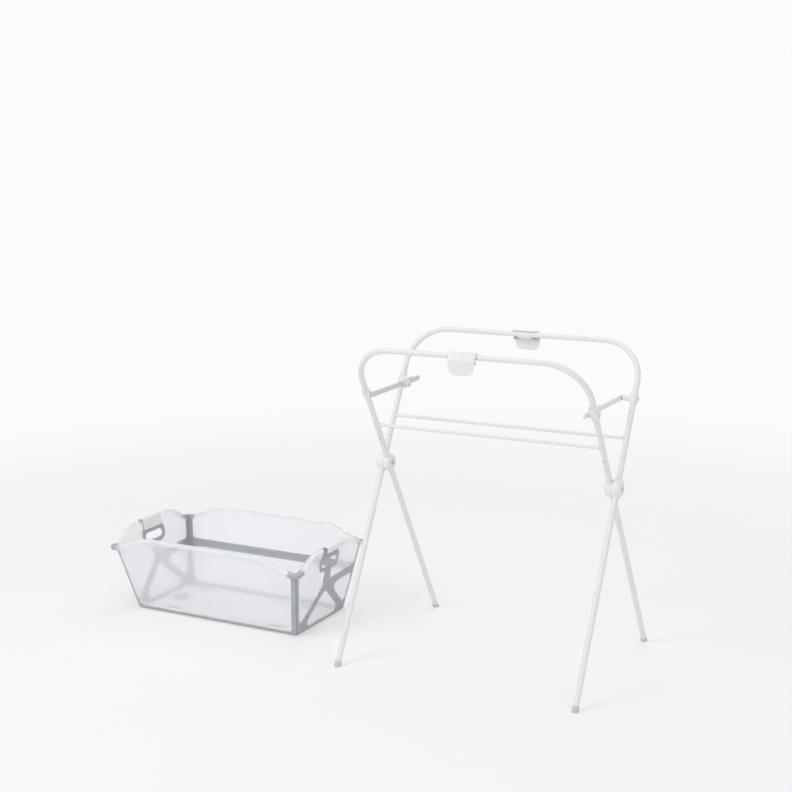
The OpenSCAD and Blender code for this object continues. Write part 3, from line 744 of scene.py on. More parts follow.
class GrownShape(GroupSheet):
    """Base of the Geometry Nodes trees: named inputs, and a plain mesh as the result."""

    def __init__(self, name: str, takes: dict[str, Socket]) -> None:
        """Starts the tree; beside its own inputs it takes the host's mesh and a material."""
        geometry = {"Geometry": Socket.GEOMETRY}
        taken = {**geometry, **takes, "Material": Socket.MATERIAL}
        super().__init__(name, "GeometryNodeTree", taken, geometry)

    def close(self, geometry: bpy.types.NodeSocket) -> None:
        """Ends the tree with its instances made real and its material set.

        Args:
            geometry: The socket of the finished geometry.
        """
        real = self.add("GeometryNodeRealizeInstances", {"Geometry": geometry}).outputs["Geometry"]
        dress = self.add("GeometryNodeSetMaterial", {"Geometry": real, "Material": self.taken("Material")})
        self.end({"Geometry": dress.outputs["Geometry"]})

    def grow(self, host: bpy.types.Object, **values: object) -> bpy.types.Object:
        """Runs the tree on a host mesh and keeps the result as a plain mesh.

        Args:
            host: The object with the points or the path.
            **values: Values by input name.

        Returns:
            The same object with the grown mesh.
        """
        step = host.modifiers.new("grow", "NODES")
        step.node_group = self.tree
        for item in self.tree.interface.items_tree:
            if item.in_out == "INPUT" and item.name in values:
                step[item.identifier] = values[item.name]
        baked(host)
        host.data.shade_smooth()
        host.data.set_sharp_from_angle(angle=math.radians(40))
        return host


class TubeSweep(GrownShape):
    """A round tube along each path of the host."""

    def __init__(self) -> None:
        """Builds the tree."""
        super().__init__("Tube along a path", {"Radius": Socket.FLOAT, "Sides": Socket.INT})
        path = self.add("GeometryNodeMeshToCurve", {"Mesh": self.taken("Geometry")})
        ring = self.add("GeometryNodeCurvePrimitiveCircle",
                        {"Radius": self.taken("Radius"), "Resolution": self.taken("Sides")})
        sweep = self.add("GeometryNodeCurveToMesh", {"Curve": path.outputs["Curve"], "Fill Caps": True,
                                                     "Profile Curve": ring.outputs["Curve"]})
        self.close(sweep.outputs["Mesh"])

    def along(self, paths: Iterable[Sequence[Vector]], radius: float, material: bpy.types.Material,
              sides: int = 40) -> bpy.types.Object:
        """Draws a tube along each path.

        Args:
            paths: Paths in metres.
            radius: The tube's radius in millimetres.
            material: The tube's finish.
            sides: Faces round the tube.

        Returns:
            The tubes as one piece.
        """
        shape = bmesh.new()
        for points in paths:
            line = [shape.verts.new(p) for p in points]
            for ends in zip(line, line[1:]):
                shape.edges.new(ends)
        return self.grow(from_bmesh("tube", shape), Radius=radius * MM, Sides=sides, Material=material)


class SetOnPoints(GrownShape):
    """A modelled pattern piece at each point of the host, turned to the point's aim."""

    SEED = 7

    def __init__(self) -> None:
        """Builds the tree."""
        super().__init__("Pattern piece on points", {"Pattern": Socket.OBJECT, "Spin": Socket.FLOAT})
        piece = self.add("GeometryNodeObjectInfo", {"Object": self.taken("Pattern")},
                         transform_space="ORIGINAL")
        aim = self.add("GeometryNodeInputNamedAttribute", {"Name": "aim"}, data_type="FLOAT_VECTOR")
        turn = self.add("FunctionNodeAlignRotationToVector", {"Vector": aim.outputs["Attribute"]}, axis="Z")
        put = self.add("GeometryNodeInstanceOnPoints",
                       {"Points": self.taken("Geometry"), "Instance": piece.outputs["Geometry"],
                        "Rotation": turn.outputs["Rotation"]})
        chance = self.add("FunctionNodeRandomValue", {"Max": self.taken("Spin"), "Seed": self.SEED},
                          data_type="FLOAT")
        around = self.add("ShaderNodeCombineXYZ", {"Z": chance.outputs["Value"]})
        spun = self.add("GeometryNodeRotateInstances",
                        {"Instances": put.outputs["Instances"], "Rotation": around.outputs["Vector"]})
        self.close(spun.outputs["Instances"])

    def at(self, places: Sequence[tuple[Vector, Vector]], pattern: bpy.types.Object,
           material: bpy.types.Material, spin: float = 0.0) -> bpy.types.Object:
        """Sets the pattern piece at each place.

        Args:
            places: Pairs of a point and the direction that the pattern's z axis takes, in metres.
            pattern: The modelled piece, in metres; it is used up.
            material: The finish.
            spin: The most that a copy is turned about its own axis, in radians.

        Returns:
            The copies as one piece.
        """
        mesh = bpy.data.meshes.new("points")
        mesh.from_pydata([tuple(place) for place, _ in places], [], [])
        aim = mesh.attributes.new("aim", "FLOAT_VECTOR", "POINT")
        for i, (_, direction) in enumerate(places):
            aim.data[i].vector = direction
        piece = self.grow(new_object("points", mesh), Pattern=pattern, Spin=spin, Material=material)
        bpy.data.objects.remove(pattern)
        return piece


# Fitting pieces to the frame

@dataclass
class Fitter:
    """Gives each piece its name, finish and body, and counts them."""

    materials: dict[str, bpy.types.Material]
    fitted: int = 0

    def body_of(self, node: str) -> str:
        """The body that a CAD node rides on."""
        return frame["nodes"][node]["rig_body"]

    def fit(self, piece: bpy.types.Object, name: str, finish: str, *nodes: str,
            body: str | None = None) -> bpy.types.Object:
        """Names and dresses a piece, and lets it stand for its CAD nodes.

        Args:
            piece: The piece, in place and in metres.
            name: The piece's name.
            finish: The finish's name.
            *nodes: The CAD nodes that it stands for.
            body: The body it rides on, where it stands for no node.

        Returns:
            The piece.
        """
        piece.name = name
        piece.data.name = name
        piece.data.materials.clear()
        piece.data.materials.append(self.materials[finish])
        if nodes:
            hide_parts(*nodes)
        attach(piece, body or self.body_of(nodes[0]))
        self.fitted += 1
        LOG.info("%s: %d faces, rides on %s", name, len(piece.data.polygons), body or self.body_of(nodes[0]))
        return piece

    def refined(self, node: str, name: str, finish: str, edge: float = 0.4,
                segments: int = 2) -> bpy.types.Object:
        """Makes a finer piece from a CAD node: its edges are rounded and its turned faces smooth.

        Args:
            node: The CAD node.
            name: The piece's name.
            finish: The finish's name.
            edge: Width of the edge rounding in millimetres.
            segments: Steps across the rounding.

        Returns:
            The piece.
        """
        shape = bmesh.new()
        shape.from_mesh(frame["nodes"][node].data)
        bmesh.ops.remove_doubles(shape, verts=shape.verts, dist=CAD_MERGE_DISTANCE)
        bmesh.ops.dissolve_limit(shape, angle_limit=FLAT_ANGLE, verts=shape.verts, edges=shape.edges)
        return self.fit(smoothed(from_bmesh(name, shape), edge * MM, segments), name, finish, node)


# The stand

# Turned profiles: each pair is added to the piece's radius and to a height named beside it.
BEAD_SKIRT = ((1.6, -0.5), (1.5, 0.6), (0.9, 1.4))
GROOVE_SPREAD = (0.9, 0.4)
CAP_CROWN = ((0.0, -1.2), (-0.25, -0.5), (-0.8, 0.0))
PIN_HEAD_EDGE = ((0.0, 0.0), (0.0, 2.6), (-0.4, 3.3), (-1.4, 3.7))
PIN_HEAD_DIMPLE = ((1.8, 3.7), (1.5, 3.1), (0, 3.1))


@dataclass
class TubeStand:
    """Two hoops of tube that cross at a pivot, with their stays, latches and feet."""

    fitter: Fitter
    tubes: TubeSweep
    pattern: SetOnPoints
    tube_d: float = 16.0
    tube_wall: float = 1.2
    lean: float = 28.46
    bend_r: float = 115.0
    bend_steps: int = 28
    crossbar_s: float = 140.0
    crossbar_d: float = 10.0
    crossbar_in: float = 1.5
    seam_s: float = 78.0
    seam_gap: float = 1.4
    spigot_l: float = 42.0
    spigot_lap: float = 2.0
    spigot_play: float = 0.15
    bead_h: float = 2.2
    bead_spin: float = 1.0
    foot_d: float = 18.4
    foot_l: float = 15.0
    foot_edge: float = 0.9
    groove_at: float = 0.62
    groove_deep: float = 0.5
    hub_d: float = 49.0
    hub_edge: float = 11.0
    sleeve_d: float = 48.0
    sleeve_in: float = 4.0
    sleeve_edge: float = 7.0
    parting_edge: float = 0.8
    drum_soft: float = 0.8
    leg_play: float = 0.05
    bolt_play: float = 0.1
    collar_out: float = 2.5
    collar_t: float = 2.4
    bolt_d: float = 6.0
    bore_half: float = 60.0
    recess_out: float = 1.15
    recess_deep: float = 4.5
    latch_w: float = 77.0
    latch_drop: float = 47.0
    latch_t: float = 3.0
    latch_play: float = 1.5
    latch_stations: int = 32
    latch_taper: float = 5.5
    latch_soft: float = 0.7
    tongue_mid: float = 16.8
    tongue_tip: float = 18.6
    tongue_bend: float = 9.0
    tongue_bend_in: float = 9.5
    mid_sag: float = 0.6
    hood_outer: Span = (30.5, 114)
    hood_inner: Span = (118, 31)
    hood_steps: int = 18
    tongue_radii: tuple[float, ...] = (1.3, 1.3, 14, 10)
    tongue_steps: int = 6
    plan_up: float = 30.0
    plan_down: float = 12.0
    plan_radii: tuple[float, ...] = (0, 12, 20, 20, 12, 0)
    plan_half: float = 60.0
    crown: float = 2.2
    pin_y: float = 12.0
    pin_z: float = -14.0
    pin_in: float = 2.2
    pin_head_d: float = 9.0
    touch: float = 0.3
    stand_x: float = field(init=False)
    pivot_z: float = field(init=False)
    top_s: float = field(init=False)
    foot_s: float = field(init=False)

    def __post_init__(self) -> None:
        """Takes the stand's place and reach from the frame."""
        low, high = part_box("front_hoop")
        self.stand_x = (low.x + high.x) / 2 / MM
        self.pivot_z = next(j for j in frame["joints"] if j["name"] == "stand_fold")["pos_m"][2] / MM
        rise = high.z / MM - self.tube_d / 2 - self.pivot_z
        self.top_s = rise / math.cos(math.radians(self.lean))
        self.foot_s = self.pivot_z / math.cos(math.radians(self.lean))

    def half_width(self, hoop: Hoop) -> float:
        """Half the width between the centre lines of a hoop's legs."""
        low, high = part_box(f"{hoop.word}_hoop")
        return (high.x - low.x) / 2 / MM - self.tube_d / 2

    def frame_of(self, hoop: Hoop) -> Matrix:
        """A hoop's frame: x across, y up the leg from the pivot, z to the front."""
        return (TO_METRES @ Matrix.Translation((self.stand_x, 0, self.pivot_z))
                @ Matrix.Rotation(math.radians(90 + hoop.value * self.lean), 4, "X"))

    def hoop_path(self, half: float) -> list[Vector]:
        """The centre line of a hoop's upper tube, in the hoop's frame.

        Args:
            half: Half the width between the legs.

        Returns:
            Its points.
        """
        bend_y = self.top_s - self.bend_r
        middle_y = (self.seam_s + bend_y) / 2
        flat = [vec(-half, self.seam_s), vec(-half, middle_y)]
        flat += arc(vec(self.bend_r - half, bend_y), self.bend_r, 180, 90, self.bend_steps)
        flat += [vec(0, self.top_s)]
        flat += arc(vec(half - self.bend_r, bend_y), self.bend_r, 90, 0, self.bend_steps)
        flat += [vec(half, middle_y), vec(half, self.seam_s)]
        return [p.to_3d() for p in flat]

    def leg_paths(self, half: float, low: float, high: float) -> list[list[Vector]]:
        """The centre lines of both legs between two distances from the pivot."""
        return [[Vector((side.value * half, s, 0)) for s in (low, (low + high) / 2, high)] for side in Side]

    def build_hoop(self, hoop: Hoop) -> None:
        """The upper tube, the lower legs and the crossbar of one hoop.

        Args:
            hoop: Which hoop.
        """
        half = self.half_width(hoop)
        place = self.frame_of(hoop)
        outer = self.tube_d / 2
        seam = self.seam_s - self.seam_gap

        def tube(paths: list[list[Vector]], radius: float, sides: int = 40) -> bpy.types.Object:
            """A coated tube along each path, which is in the hoop's frame."""
            return self.tubes.along([[place @ p for p in path] for path in paths], radius,
                                    self.fitter.materials["powder_coat"], sides)

        upper = tube([self.hoop_path(half)], outer)
        lower = tube(self.leg_paths(half, self.foot_l / 2 - self.foot_s, seam), outer)
        spigot = tube(self.leg_paths(half, seam - self.spigot_lap, self.seam_s + self.spigot_l),
                      outer - self.tube_wall - self.spigot_play)
        reach = half - outer + self.crossbar_in
        bar = tube([[Vector((x, self.crossbar_s, 0)) for x in (-reach, 0, reach)]], self.crossbar_d / 2, 32)
        for piece, name, node in ((upper, "hoop_tube", "hoop"),
                                  (joined([lower, spigot], "legs"), "leg_tubes", "legs"),
                                  (joined([bar, self.weld_beads(place, half)], "bar"), "crossbar_tube",
                                   "crossbar")):
            self.fitter.fit(piece, f"{hoop.word}_{name}", "powder_coat", f"{hoop.word}_{node}")

    def weld_beads(self, place: Matrix, half: float) -> bpy.types.Object:
        """Small coated weld beads where a crossbar meets the legs.

        Args:
            place: The hoop's frame.
            half: Half the width between the legs.

        Returns:
            The beads.
        """
        r, top = self.crossbar_d / 2, self.bead_h
        skirt = [(r + out, height) for out, height in BEAD_SKIRT]
        profile = [(0, skirt[0][1]), *skirt, (r, top), (0, top)]
        at = half - self.tube_d / 2
        spots = [(place @ Vector((side.value * at, self.crossbar_s, 0)), Vector((-side.value, 0, 0)))
                 for side in Side]
        return self.pattern.at(spots, placed(lathe(profile, 28), TO_METRES),
                               self.fitter.materials["powder_coat"], self.bead_spin)

    def build_feet(self, hoop: Hoop) -> None:
        """Short soft end caps with a grip groove, level where they meet the floor.

        Args:
            hoop: Which hoop.
        """
        r, top = self.foot_d / 2, self.foot_l
        groove, floor = self.groove_at * top, r - self.groove_deep
        profile: list[Flat] = [(0, -self.foot_d), (r, -self.foot_d)]
        wide, narrow = GROOVE_SPREAD
        profile += [(r, groove - wide), (floor, groove - narrow)]
        profile += [(floor, groove + narrow), (r, groove + wide)]
        profile += [*((r + out, top + height) for out, height in CAP_CROWN), (0, top)]
        place = self.frame_of(hoop)
        up = (place.to_3x3() @ Vector((0, 1, 0))).normalized()
        spots = [(place @ Vector((side.value * self.half_width(hoop), -self.foot_s, 0)), up) for side in Side]
        caps = self.pattern.at(spots, placed(lathe(profile, 48), TO_METRES),
                               self.fitter.materials["foot_grey"])
        shape = bmesh.new()
        shape.from_mesh(caps.data)
        cut = bmesh.ops.bisect_plane(shape, geom=shape.verts[:] + shape.edges[:] + shape.faces[:], dist=1e-6,
                                     plane_co=(0, 0, 0), plane_no=(0, 0, 1), clear_inner=True)
        rim = [e for e in cut["geom_cut"] if isinstance(e, bmesh.types.BMEdge)]
        bmesh.ops.holes_fill(shape, edges=rim, sides=0)
        bmesh.ops.recalc_face_normals(shape, faces=shape.faces)
        shape.to_mesh(caps.data)
        shape.free()
        self.fitter.fit(smoothed(caps, self.foot_edge * MM, 3), f"{hoop.word}_foot_caps", "foot_grey",
                        f"{hoop.word}_feet")

    def leg_post(self, at: float, reach: float, radius: float) -> bpy.types.Object:
        """A post round a leg at the pivot, in a hoop's frame with its x axis up the drum's axis.

        Args:
            at: The leg's distance along the drum's axis.
            reach: How far the post goes to each side of the axis.
            radius: The post's radius.

        Returns:
            The post.
        """
        turn = Matrix.Translation((0, 0, at)) @ Matrix.Rotation(QUARTER_TURN, 4, "X")
        return placed(rod(radius, -reach, reach, 48), turn)

    def drum(self, diameter: float, low: float, high: float, leg: float, edge: float) -> bpy.types.Object:
        """A moulded drum on a leg, drawn with its axis upwards from the parting plane.

        Args:
            diameter: The drum's diameter.
            low: Where the flat side is.
            high: Where the rounded side is.
            leg: Where the leg's centre line crosses.
            edge: Radius of the rounded side's edge.

        Returns:
            The drum with its collars, bored for the leg and the bolt.
        """
        r = diameter / 2
        side = 1 if high > low else -1
        small = self.parting_edge
        profile = [(0.0, low), (r - small, low), (r, low + side * small)]
        rounding = arc(vec(r - edge, abs(high - low) - edge), edge, 0, 78, 10)
        profile += [(p.x, low + side * p.y) for p in rounding]
        profile += [(0.0, high)]
        solid = lathe(profile, 96)
        neck = self.leg_post(leg, r + self.collar_out, self.tube_d / 2 + self.collar_t)
        carve(solid, carve(neck, rod(2 * r, low, high, 24), Carve.KEEP), Carve.JOIN)
        carve(solid, self.leg_post(leg, 2 * r, self.tube_d / 2 + self.leg_play), Carve.CUT)
        return carve(solid, rod(self.bolt_d / 2 + self.bolt_play, -self.bore_half, self.bore_half, 32),
                     Carve.CUT)

    def build_pivots(self) -> None:
        """The round housings on the rear hoop and the sleeves on the front hoop, both sides of each."""
        front, rear = (self.half_width(hoop) for hoop in Hoop)
        middle = (front + rear) / 2
        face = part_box("pivot_housings")[1].x / MM - self.stand_x
        inner = front - self.tube_d / 2 - self.sleeve_in
        recess = (self.bolt_d + self.recess_out, face - self.recess_deep, face + 2 * self.recess_deep)
        covers, sleeves = [], []
        for side in Side:
            out = Matrix.Rotation(side.value * QUARTER_TURN, 4, "Y")
            cover = self.drum(self.hub_d, middle + self.touch / 2, face, rear, self.hub_edge)
            carve(cover, rod(*recess, 48), Carve.CUT)
            sleeve = self.drum(self.sleeve_d, middle - self.touch / 2, inner, front, self.sleeve_edge)
            covers.append(placed(smoothed(cover, self.drum_soft, 3), self.frame_of(Hoop.REAR) @ out))
            sleeves.append(placed(smoothed(sleeve, self.drum_soft, 3), self.frame_of(Hoop.FRONT) @ out))
        self.fitter.fit(joined(covers, "covers"), "pivot_covers", "satin_white", "pivot_housings")
        self.fitter.fit(joined(sleeves, "sleeves"), "pivot_inner_sleeves", "satin_white", "pivot_sleeves")

    def latch_frame(self, hoop: Hoop) -> Matrix:
        """A latch's frame: x along the bar, y outwards and z up from the bar's centre line.

        Args:
            hoop: Which hoop the latch sits on.

        Returns:
            The frame.
        """
        top_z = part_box(f"{hoop.word}_hoop")[1].z / MM - self.tube_d / 2
        top_y = (top_z - self.pivot_z) * math.tan(math.radians(self.lean))
        turn = math.pi if hoop is Hoop.FRONT else 0.0
        return (TO_METRES @ Matrix.Translation((self.stand_x, -hoop.value * top_y, top_z))
                @ Matrix.Rotation(turn, 4, "Z"))

    def latch_section(self, sag: float) -> list[Flat]:
        """The cover's section round the bar and down its tongue.

        Args:
            sag: How far the tongue is set back here, for its crown.

        Returns:
            Points in y and z, anticlockwise.
        """
        inner = self.tube_d / 2 + self.latch_play
        outer = inner + self.latch_t
        bulge = self.tongue_mid + self.latch_t - self.mid_sag * sag
        low = self.tongue_tip + self.latch_t - sag
        down = -self.latch_drop
        middle = vec(0, 0)
        corners = [vec(low - self.latch_t, down), vec(low, down), vec(bulge, -self.tongue_bend)]
        hood = (arc(middle, outer, *self.hood_outer, self.hood_steps)
                + arc(middle, inner, *self.hood_inner, self.hood_steps))
        *tip_radii, back_radius = self.tongue_radii
        line = rounded([*corners, *hood, vec(bulge - self.latch_t, -self.tongue_bend_in)],
                       [*tip_radii, *[0] * len(hood), back_radius], self.tongue_steps)
        return [(p.x, p.y) for p in line]

    def build_latch(self, hoop: Hoop) -> None:
        """The crowned cover over the bar with its hanging tongue, its base and its pin's round heads.

        Args:
            hoop: Which hoop.
        """
        word, place = hoop.word, self.latch_frame(hoop)
        self.fitter.refined(f"{word}_latch_saddle", f"{word}_latch_base", "satin_white", 0.5)
        half = self.latch_w / 2
        stations = []
        for i in range(self.latch_stations + 1):
            across = half * (2 * i / self.latch_stations - 1)
            section = self.latch_section(self.crown * (across / half) ** 4)
            stations.append([Vector((across, y, z)) for y, z in section])
        tip = half - self.latch_taper
        up, down = self.plan_up, self.plan_down
        outline = rounded([vec(-half, up), vec(-half, -down), vec(-tip, -self.latch_drop),
                           vec(tip, -self.latch_drop), vec(half, -down), vec(half, up)], self.plan_radii)
        plan = placed(prism(outline, -self.plan_half, self.plan_half), Matrix.Rotation(QUARTER_TURN, 4, "X"))
        cover = smoothed(carve(strip(stations), plan, Carve.KEEP), self.latch_soft, 3)
        self.fitter.fit(placed(cover, place), f"{word}_latch_flap", "satin_white", f"{word}_latch_cover")
        r = self.pin_head_d / 2
        profile = [(0, 0), *((r + out, height) for out, height in PIN_HEAD_EDGE), *PIN_HEAD_DIMPLE]
        spots = [(place @ Vector((side.value * (half - self.pin_in), self.pin_y, self.pin_z)),
                  place.to_3x3().normalized() @ Vector((side.value, 0, 0))) for side in Side]
        heads = self.pattern.at(spots, placed(lathe(profile, 40), TO_METRES), self.fitter.materials["zinc"])
        self.fitter.fit(heads, f"{word}_latch_pin_heads", "zinc",
                        body=self.fitter.body_of(f"{word}_fasteners"))

    def build(self) -> None:
        """Builds and dresses the whole stand."""
        refined = self.fitter.refined
        for hoop in Hoop:
            self.build_hoop(hoop)
            self.build_feet(hoop)
            word = hoop.word
            refined(f"{word}_stay_clamps", f"{word}_stay_collars", "satin_white", 0.8, 3)
            refined(f"{word}_fasteners", f"{word}_screws", "zinc", 0.25)
            self.build_latch(hoop)
            for side in Side:
                refined(f"{word}_{side.word}_button", f"{word}_{side.word}_snap_pin", "zinc", 0.2)
        self.build_pivots()
        refined("pivot_bolts", "pivot_screws", "zinc", 0.3)
        # The left strap is greyer than the right one: painted shade, as both straps are one material.
        for word, finish in ((Side.LEFT.word, "stay_grey"), (Side.RIGHT.word, "satin_white")):
            refined(f"{word}_stay_bar", f"{word}_stay_strap", finish, 0.7, 3)
            refined(f"{word}_stay_guide", f"{word}_stay_clasp", "satin_white", 0.8, 3)
            refined(f"{word}_clamp_knob", f"{word}_turn_knob", "knob_grey", 0.8, 3)


# The bath

@dataclass(frozen=True)
class RimSection:
    """Section of a wall's top edge: depth below the rim, and distance out from the inner face."""

    wall_t: float
    lip_out: float
    lip_down: float
    proud: float = 0.0
    roll_t: float = 2.5
    bend: float = 4.0
    hollow: float = 1.2
    foot: float = 14.0

    def points(self) -> list[Flat]:
        """The section from the inner face over the rim to the outer face.

        Returns:
            Points of depth and distance out.
        """
        face_in, face_out = -self.proud, self.wall_t + self.proud
        out = self.wall_t + self.lip_out + self.proud
        thick = self.roll_t + 2 * self.proud
        end = self.lip_down + self.proud - thick / 2
        under = face_in + thick + self.hollow
        line = [vec(self.foot, face_in)]
        line += arc(vec(face_in + self.bend, face_in + self.bend), self.bend, 270, 180)
        line += arc(vec(face_in + self.bend, out - self.bend), self.bend, 180, 90)
        line += arc(vec(end, out - thick / 2), thick / 2, 90, -90)
        line += arc(vec(under, out - thick - self.hollow), self.hollow, 90, 180, 4)
        line += arc(vec(under, face_out + self.hollow), self.hollow, 180, 270, 4)
        line += [vec(self.foot, face_out)]
        return [(p.x, p.y) for p in line]


@dataclass
class FoldingBath:
    """The bath: frosted panels, the soft bands that join them, its clips and its plug."""

    fitter: Fitter
    base_l: float = 572.0
    base_w: float = 262.0
    flare_l: float = 38.0
    flare_w: float = 54.0
    corner_h: float = 213.0
    rim_rise: float = 40.0
    wall_t: float = 3.0
    lip_out: float = 13.0
    lip_down: float = 10.0
    band_half: float = 12.0
    stem_half: float = 17.0
    foot_band: float = 6.0
    wall_band: float = 15.0
    end_band: float = 10.0
    thin_band: float = 3.0
    node_h: float = 121.0
    pad_h: float = 2.0
    slot_w: float = 85.0
    slot_h: float = 25.0
    grip_down: float = 18.0
    clip_w: float = 89.0
    clip_h: float = 34.0
    clip_t: float = 3.0
    shoulder: float = 68.0
    long_shoulder: float = 115.0
    shoulder_r: float = 90.0
    long_shoulder_r: float = 180.0
    rest_r: float = 30.0
    rest_run: float = 17.0
    rest_rise: float = 1.5
    skin_gap: float = 0.15
    panel_r: float = 16.0
    touch: float = 0.3
    band_proud: float = 0.35
    band_edge: float = 0.45
    panel_edge: float = 0.35
    plate_edge: float = 0.4
    carve_past: float = 4.0
    ring_side: float = 12.0
    ring_top: float = 22.0
    ring_proud: float = 1.0
    ring_edge: float = 1.4
    slot_flat: float = 0.5
    web_edge: float = 0.3
    clip_edge: float = 0.9
    clip_tuck: float = 4.0
    clip_radii: tuple[float, ...] = (5, 5, 0, 0, 2, 0, 0, 0)
    lip_skin: float = 0.2
    front_lip_gap: float = 17.5
    cap_long: float = 19.5
    cap_short: float = 9.0
    cap_proud: float = 1.1
    cap_edge: float = 0.38
    cap_fade: float = 4.0
    cap_step: float = 2.0
    cap_stops: tuple[float, ...] = (3.2, 2.4, 1.6, 1.0, 0.5, 0.2, 0.0)
    cap_floor: float = 0.3
    rib_w: float = 1.5
    rib_gap: float = 5.5
    rib_proud: float = 0.06
    rib_lap: float = 1.0
    rib_edge: float = 0.3
    rib_x: tuple[float, ...] = (-225.0, -90.0, 150.0)
    bath_x: float = field(init=False)

    def __post_init__(self) -> None:
        """Takes the bath's place from the frame and works out its slopes."""
        low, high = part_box("base_border")
        self.bath_x = (low.x + high.x) / 2 / MM
        self.floor_z = self.pad_h + self.wall_t
        rise = self.corner_h - self.floor_z
        self.side_lean = math.atan(self.flare_w / rise)
        self.end_lean = math.atan(self.flare_l / rise)
        self.side_h = rise / math.cos(self.side_lean)
        self.end_h = rise / math.cos(self.end_lean)
        self.rim_top = self.end_h + self.rim_rise
        self.rim_w = self.base_w + 2 * self.flare_w
        self.fold_v = self.base_w / 2
        self.end_fold = self.fold_v / self.side_h * self.end_h
        self.grip_h = self.end_h - self.grip_down

    def half_len(self, v: float) -> float:
        """Half the length of a long wall at a height on its slope."""
        return self.base_l / 2 + self.flare_l * v / self.side_h

    def half_dep(self, v: float) -> float:
        """Half the depth of an end wall at a height on its slope."""
        return self.base_w / 2 + self.flare_w * v / self.end_h

    def long_frame(self, rear: bool) -> Matrix:
        """Frame of a long wall: x along it, y up its slope, z outwards.

        Args:
            rear: Whether it is the rear wall.

        Returns:
            The frame.
        """
        side = 1 if rear else -1
        place = TO_METRES @ Matrix.Translation((self.bath_x, side * self.base_w / 2, self.floor_z))
        if rear:
            place = place @ Matrix.Rotation(math.pi, 4, "Z")
        return place @ Matrix.Rotation(QUARTER_TURN + self.side_lean, 4, "X")

    def end_frame(self, side: Side) -> Matrix:
        """Frame of an end wall: x to the rear, y up its slope, z outwards.

        Args:
            side: Which end.

        Returns:
            The frame.
        """
        lean = Matrix.Rotation(QUARTER_TURN + self.end_lean, 4, "X")
        place = Matrix.Translation((self.bath_x + side.value * self.base_l / 2, 0, self.floor_z))
        wall = place @ Matrix.Rotation(side.value * QUARTER_TURN, 4, "Z") @ lean
        if side is Side.LEFT:
            wall = wall @ Matrix.Scale(-1, 4, Vector((1, 0, 0)))
        return TO_METRES @ wall

    def section(self, proud: float) -> list[Flat]:
        """The rim's section, grown by an amount."""
        return RimSection(self.wall_t, self.lip_out, self.lip_down, proud).points()

    def rim_solid(self, outline: Outline, first: int, last: int, proud: float) -> bpy.types.Object:
        """A wall with its rolled rim.

        Args:
            outline: The wall's outline, anticlockwise.
            first: Index of the rim's first point.
            last: Index of the rim's last point; the rest closes the wall below.
            proud: How far all faces stand out past the plain wall.

        Returns:
            The closed solid, in the wall's frame.
        """
        section = self.section(proud)
        shape = bmesh.new()
        count = len(outline)
        columns = []
        for i in range(first, last + 1):
            shift = corner_shift(outline[i - 1], outline[i], outline[(i + 1) % count],
                                 0.0 if i == first else 1.0, 0.0 if i == last else 1.0)
            columns.append([shape.verts.new((*(outline[i] + shift * depth), out)) for depth, out in section])
        for one, two in zip(columns, columns[1:]):
            for j in range(len(section) - 1):
                shape.faces.new((one[j], one[j + 1], two[j + 1], two[j]))
        shape.faces.new(columns[0])
        shape.faces.new(columns[-1])
        rest = [outline[i % count] for i in range(last + 1, first + count)]
        skins = []
        for edge in (0, -1):
            below = [shape.verts.new((p.x, p.y, section[edge][1])) for p in rest]
            shape.faces.new([column[edge] for column in columns] + below)
            skins.append([columns[-1][edge], *below, columns[0][edge]])
        inside, outside = skins
        for i in range(len(inside) - 1):
            shape.faces.new((inside[i], inside[i + 1], outside[i + 1], outside[i]))
        return closed("wall", shape)

    def field_prism(self, outline: Outline) -> bpy.types.Object:
        """The prism that takes a panel out of a wall, or leaves its bands."""
        return prism(outline, -self.carve_past, self.wall_t + self.lip_out + self.carve_past)

    def panel_and_band(self, outline: Outline, rim: Rim, inner: Outline,
                       cuts: Sequence[Outline] = ()) -> tuple[bpy.types.Object, bpy.types.Object]:
        """Splits a rim wall into its frosted panel and its soft band.

        Args:
            outline: The wall's outline.
            rim: First and last index of the rim.
            inner: Outline of the panel; it runs on past the rim.
            cuts: Outlines cut out of both.

        Returns:
            The panel and the band, in the wall's frame.
        """
        made = []
        for proud, how, edge in ((0.0, Carve.KEEP, self.panel_edge),
                                 (self.band_proud, Carve.CUT, self.band_edge)):
            piece = carve(self.rim_solid(outline, *rim, proud), self.field_prism(inner), how)
            for cut in cuts:
                carve(piece, self.field_prism(cut), Carve.CUT)
            made.append(smoothed(piece, edge))
        return made[0], made[1]

    def plate(self, outline: Outline, proud: float, hole: Outline | None = None) -> bpy.types.Object:
        """A flat panel or band between the wall's faces.

        Args:
            outline: The outer outline.
            proud: How far both faces stand out.
            hole: An outline cut out of it.

        Returns:
            The solid, in the wall's frame.
        """
        made = prism(outline, -proud, self.wall_t + proud)
        if hole:
            carve(made, self.field_prism(hole), Carve.CUT)
        return smoothed(made, self.plate_edge)

    def fit_pair(self, word: str, kind: str, place: Matrix, panel: bpy.types.Object, band: bpy.types.Object,
                 caps: Sequence[bpy.types.Object] = ()) -> None:
        """Fits a frosted panel and its soft band.

        Args:
            word: The words that the names of both begin with.
            kind: Last word of the panel's CAD node.
            place: The wall's frame.
            panel: The panel, in the wall's frame.
            band: The band, in the wall's frame.
            caps: Caps that are part of the band, in metres.
        """
        self.fitter.fit(placed(panel, place), f"{word}_frosted_panel", "frosted", f"{word}_{kind}")
        band = placed(band, place)
        if caps:
            band = joined([band, *caps], "band")
        self.fitter.fit(band, f"{word}_soft_band", "soft_band", f"{word}_border")

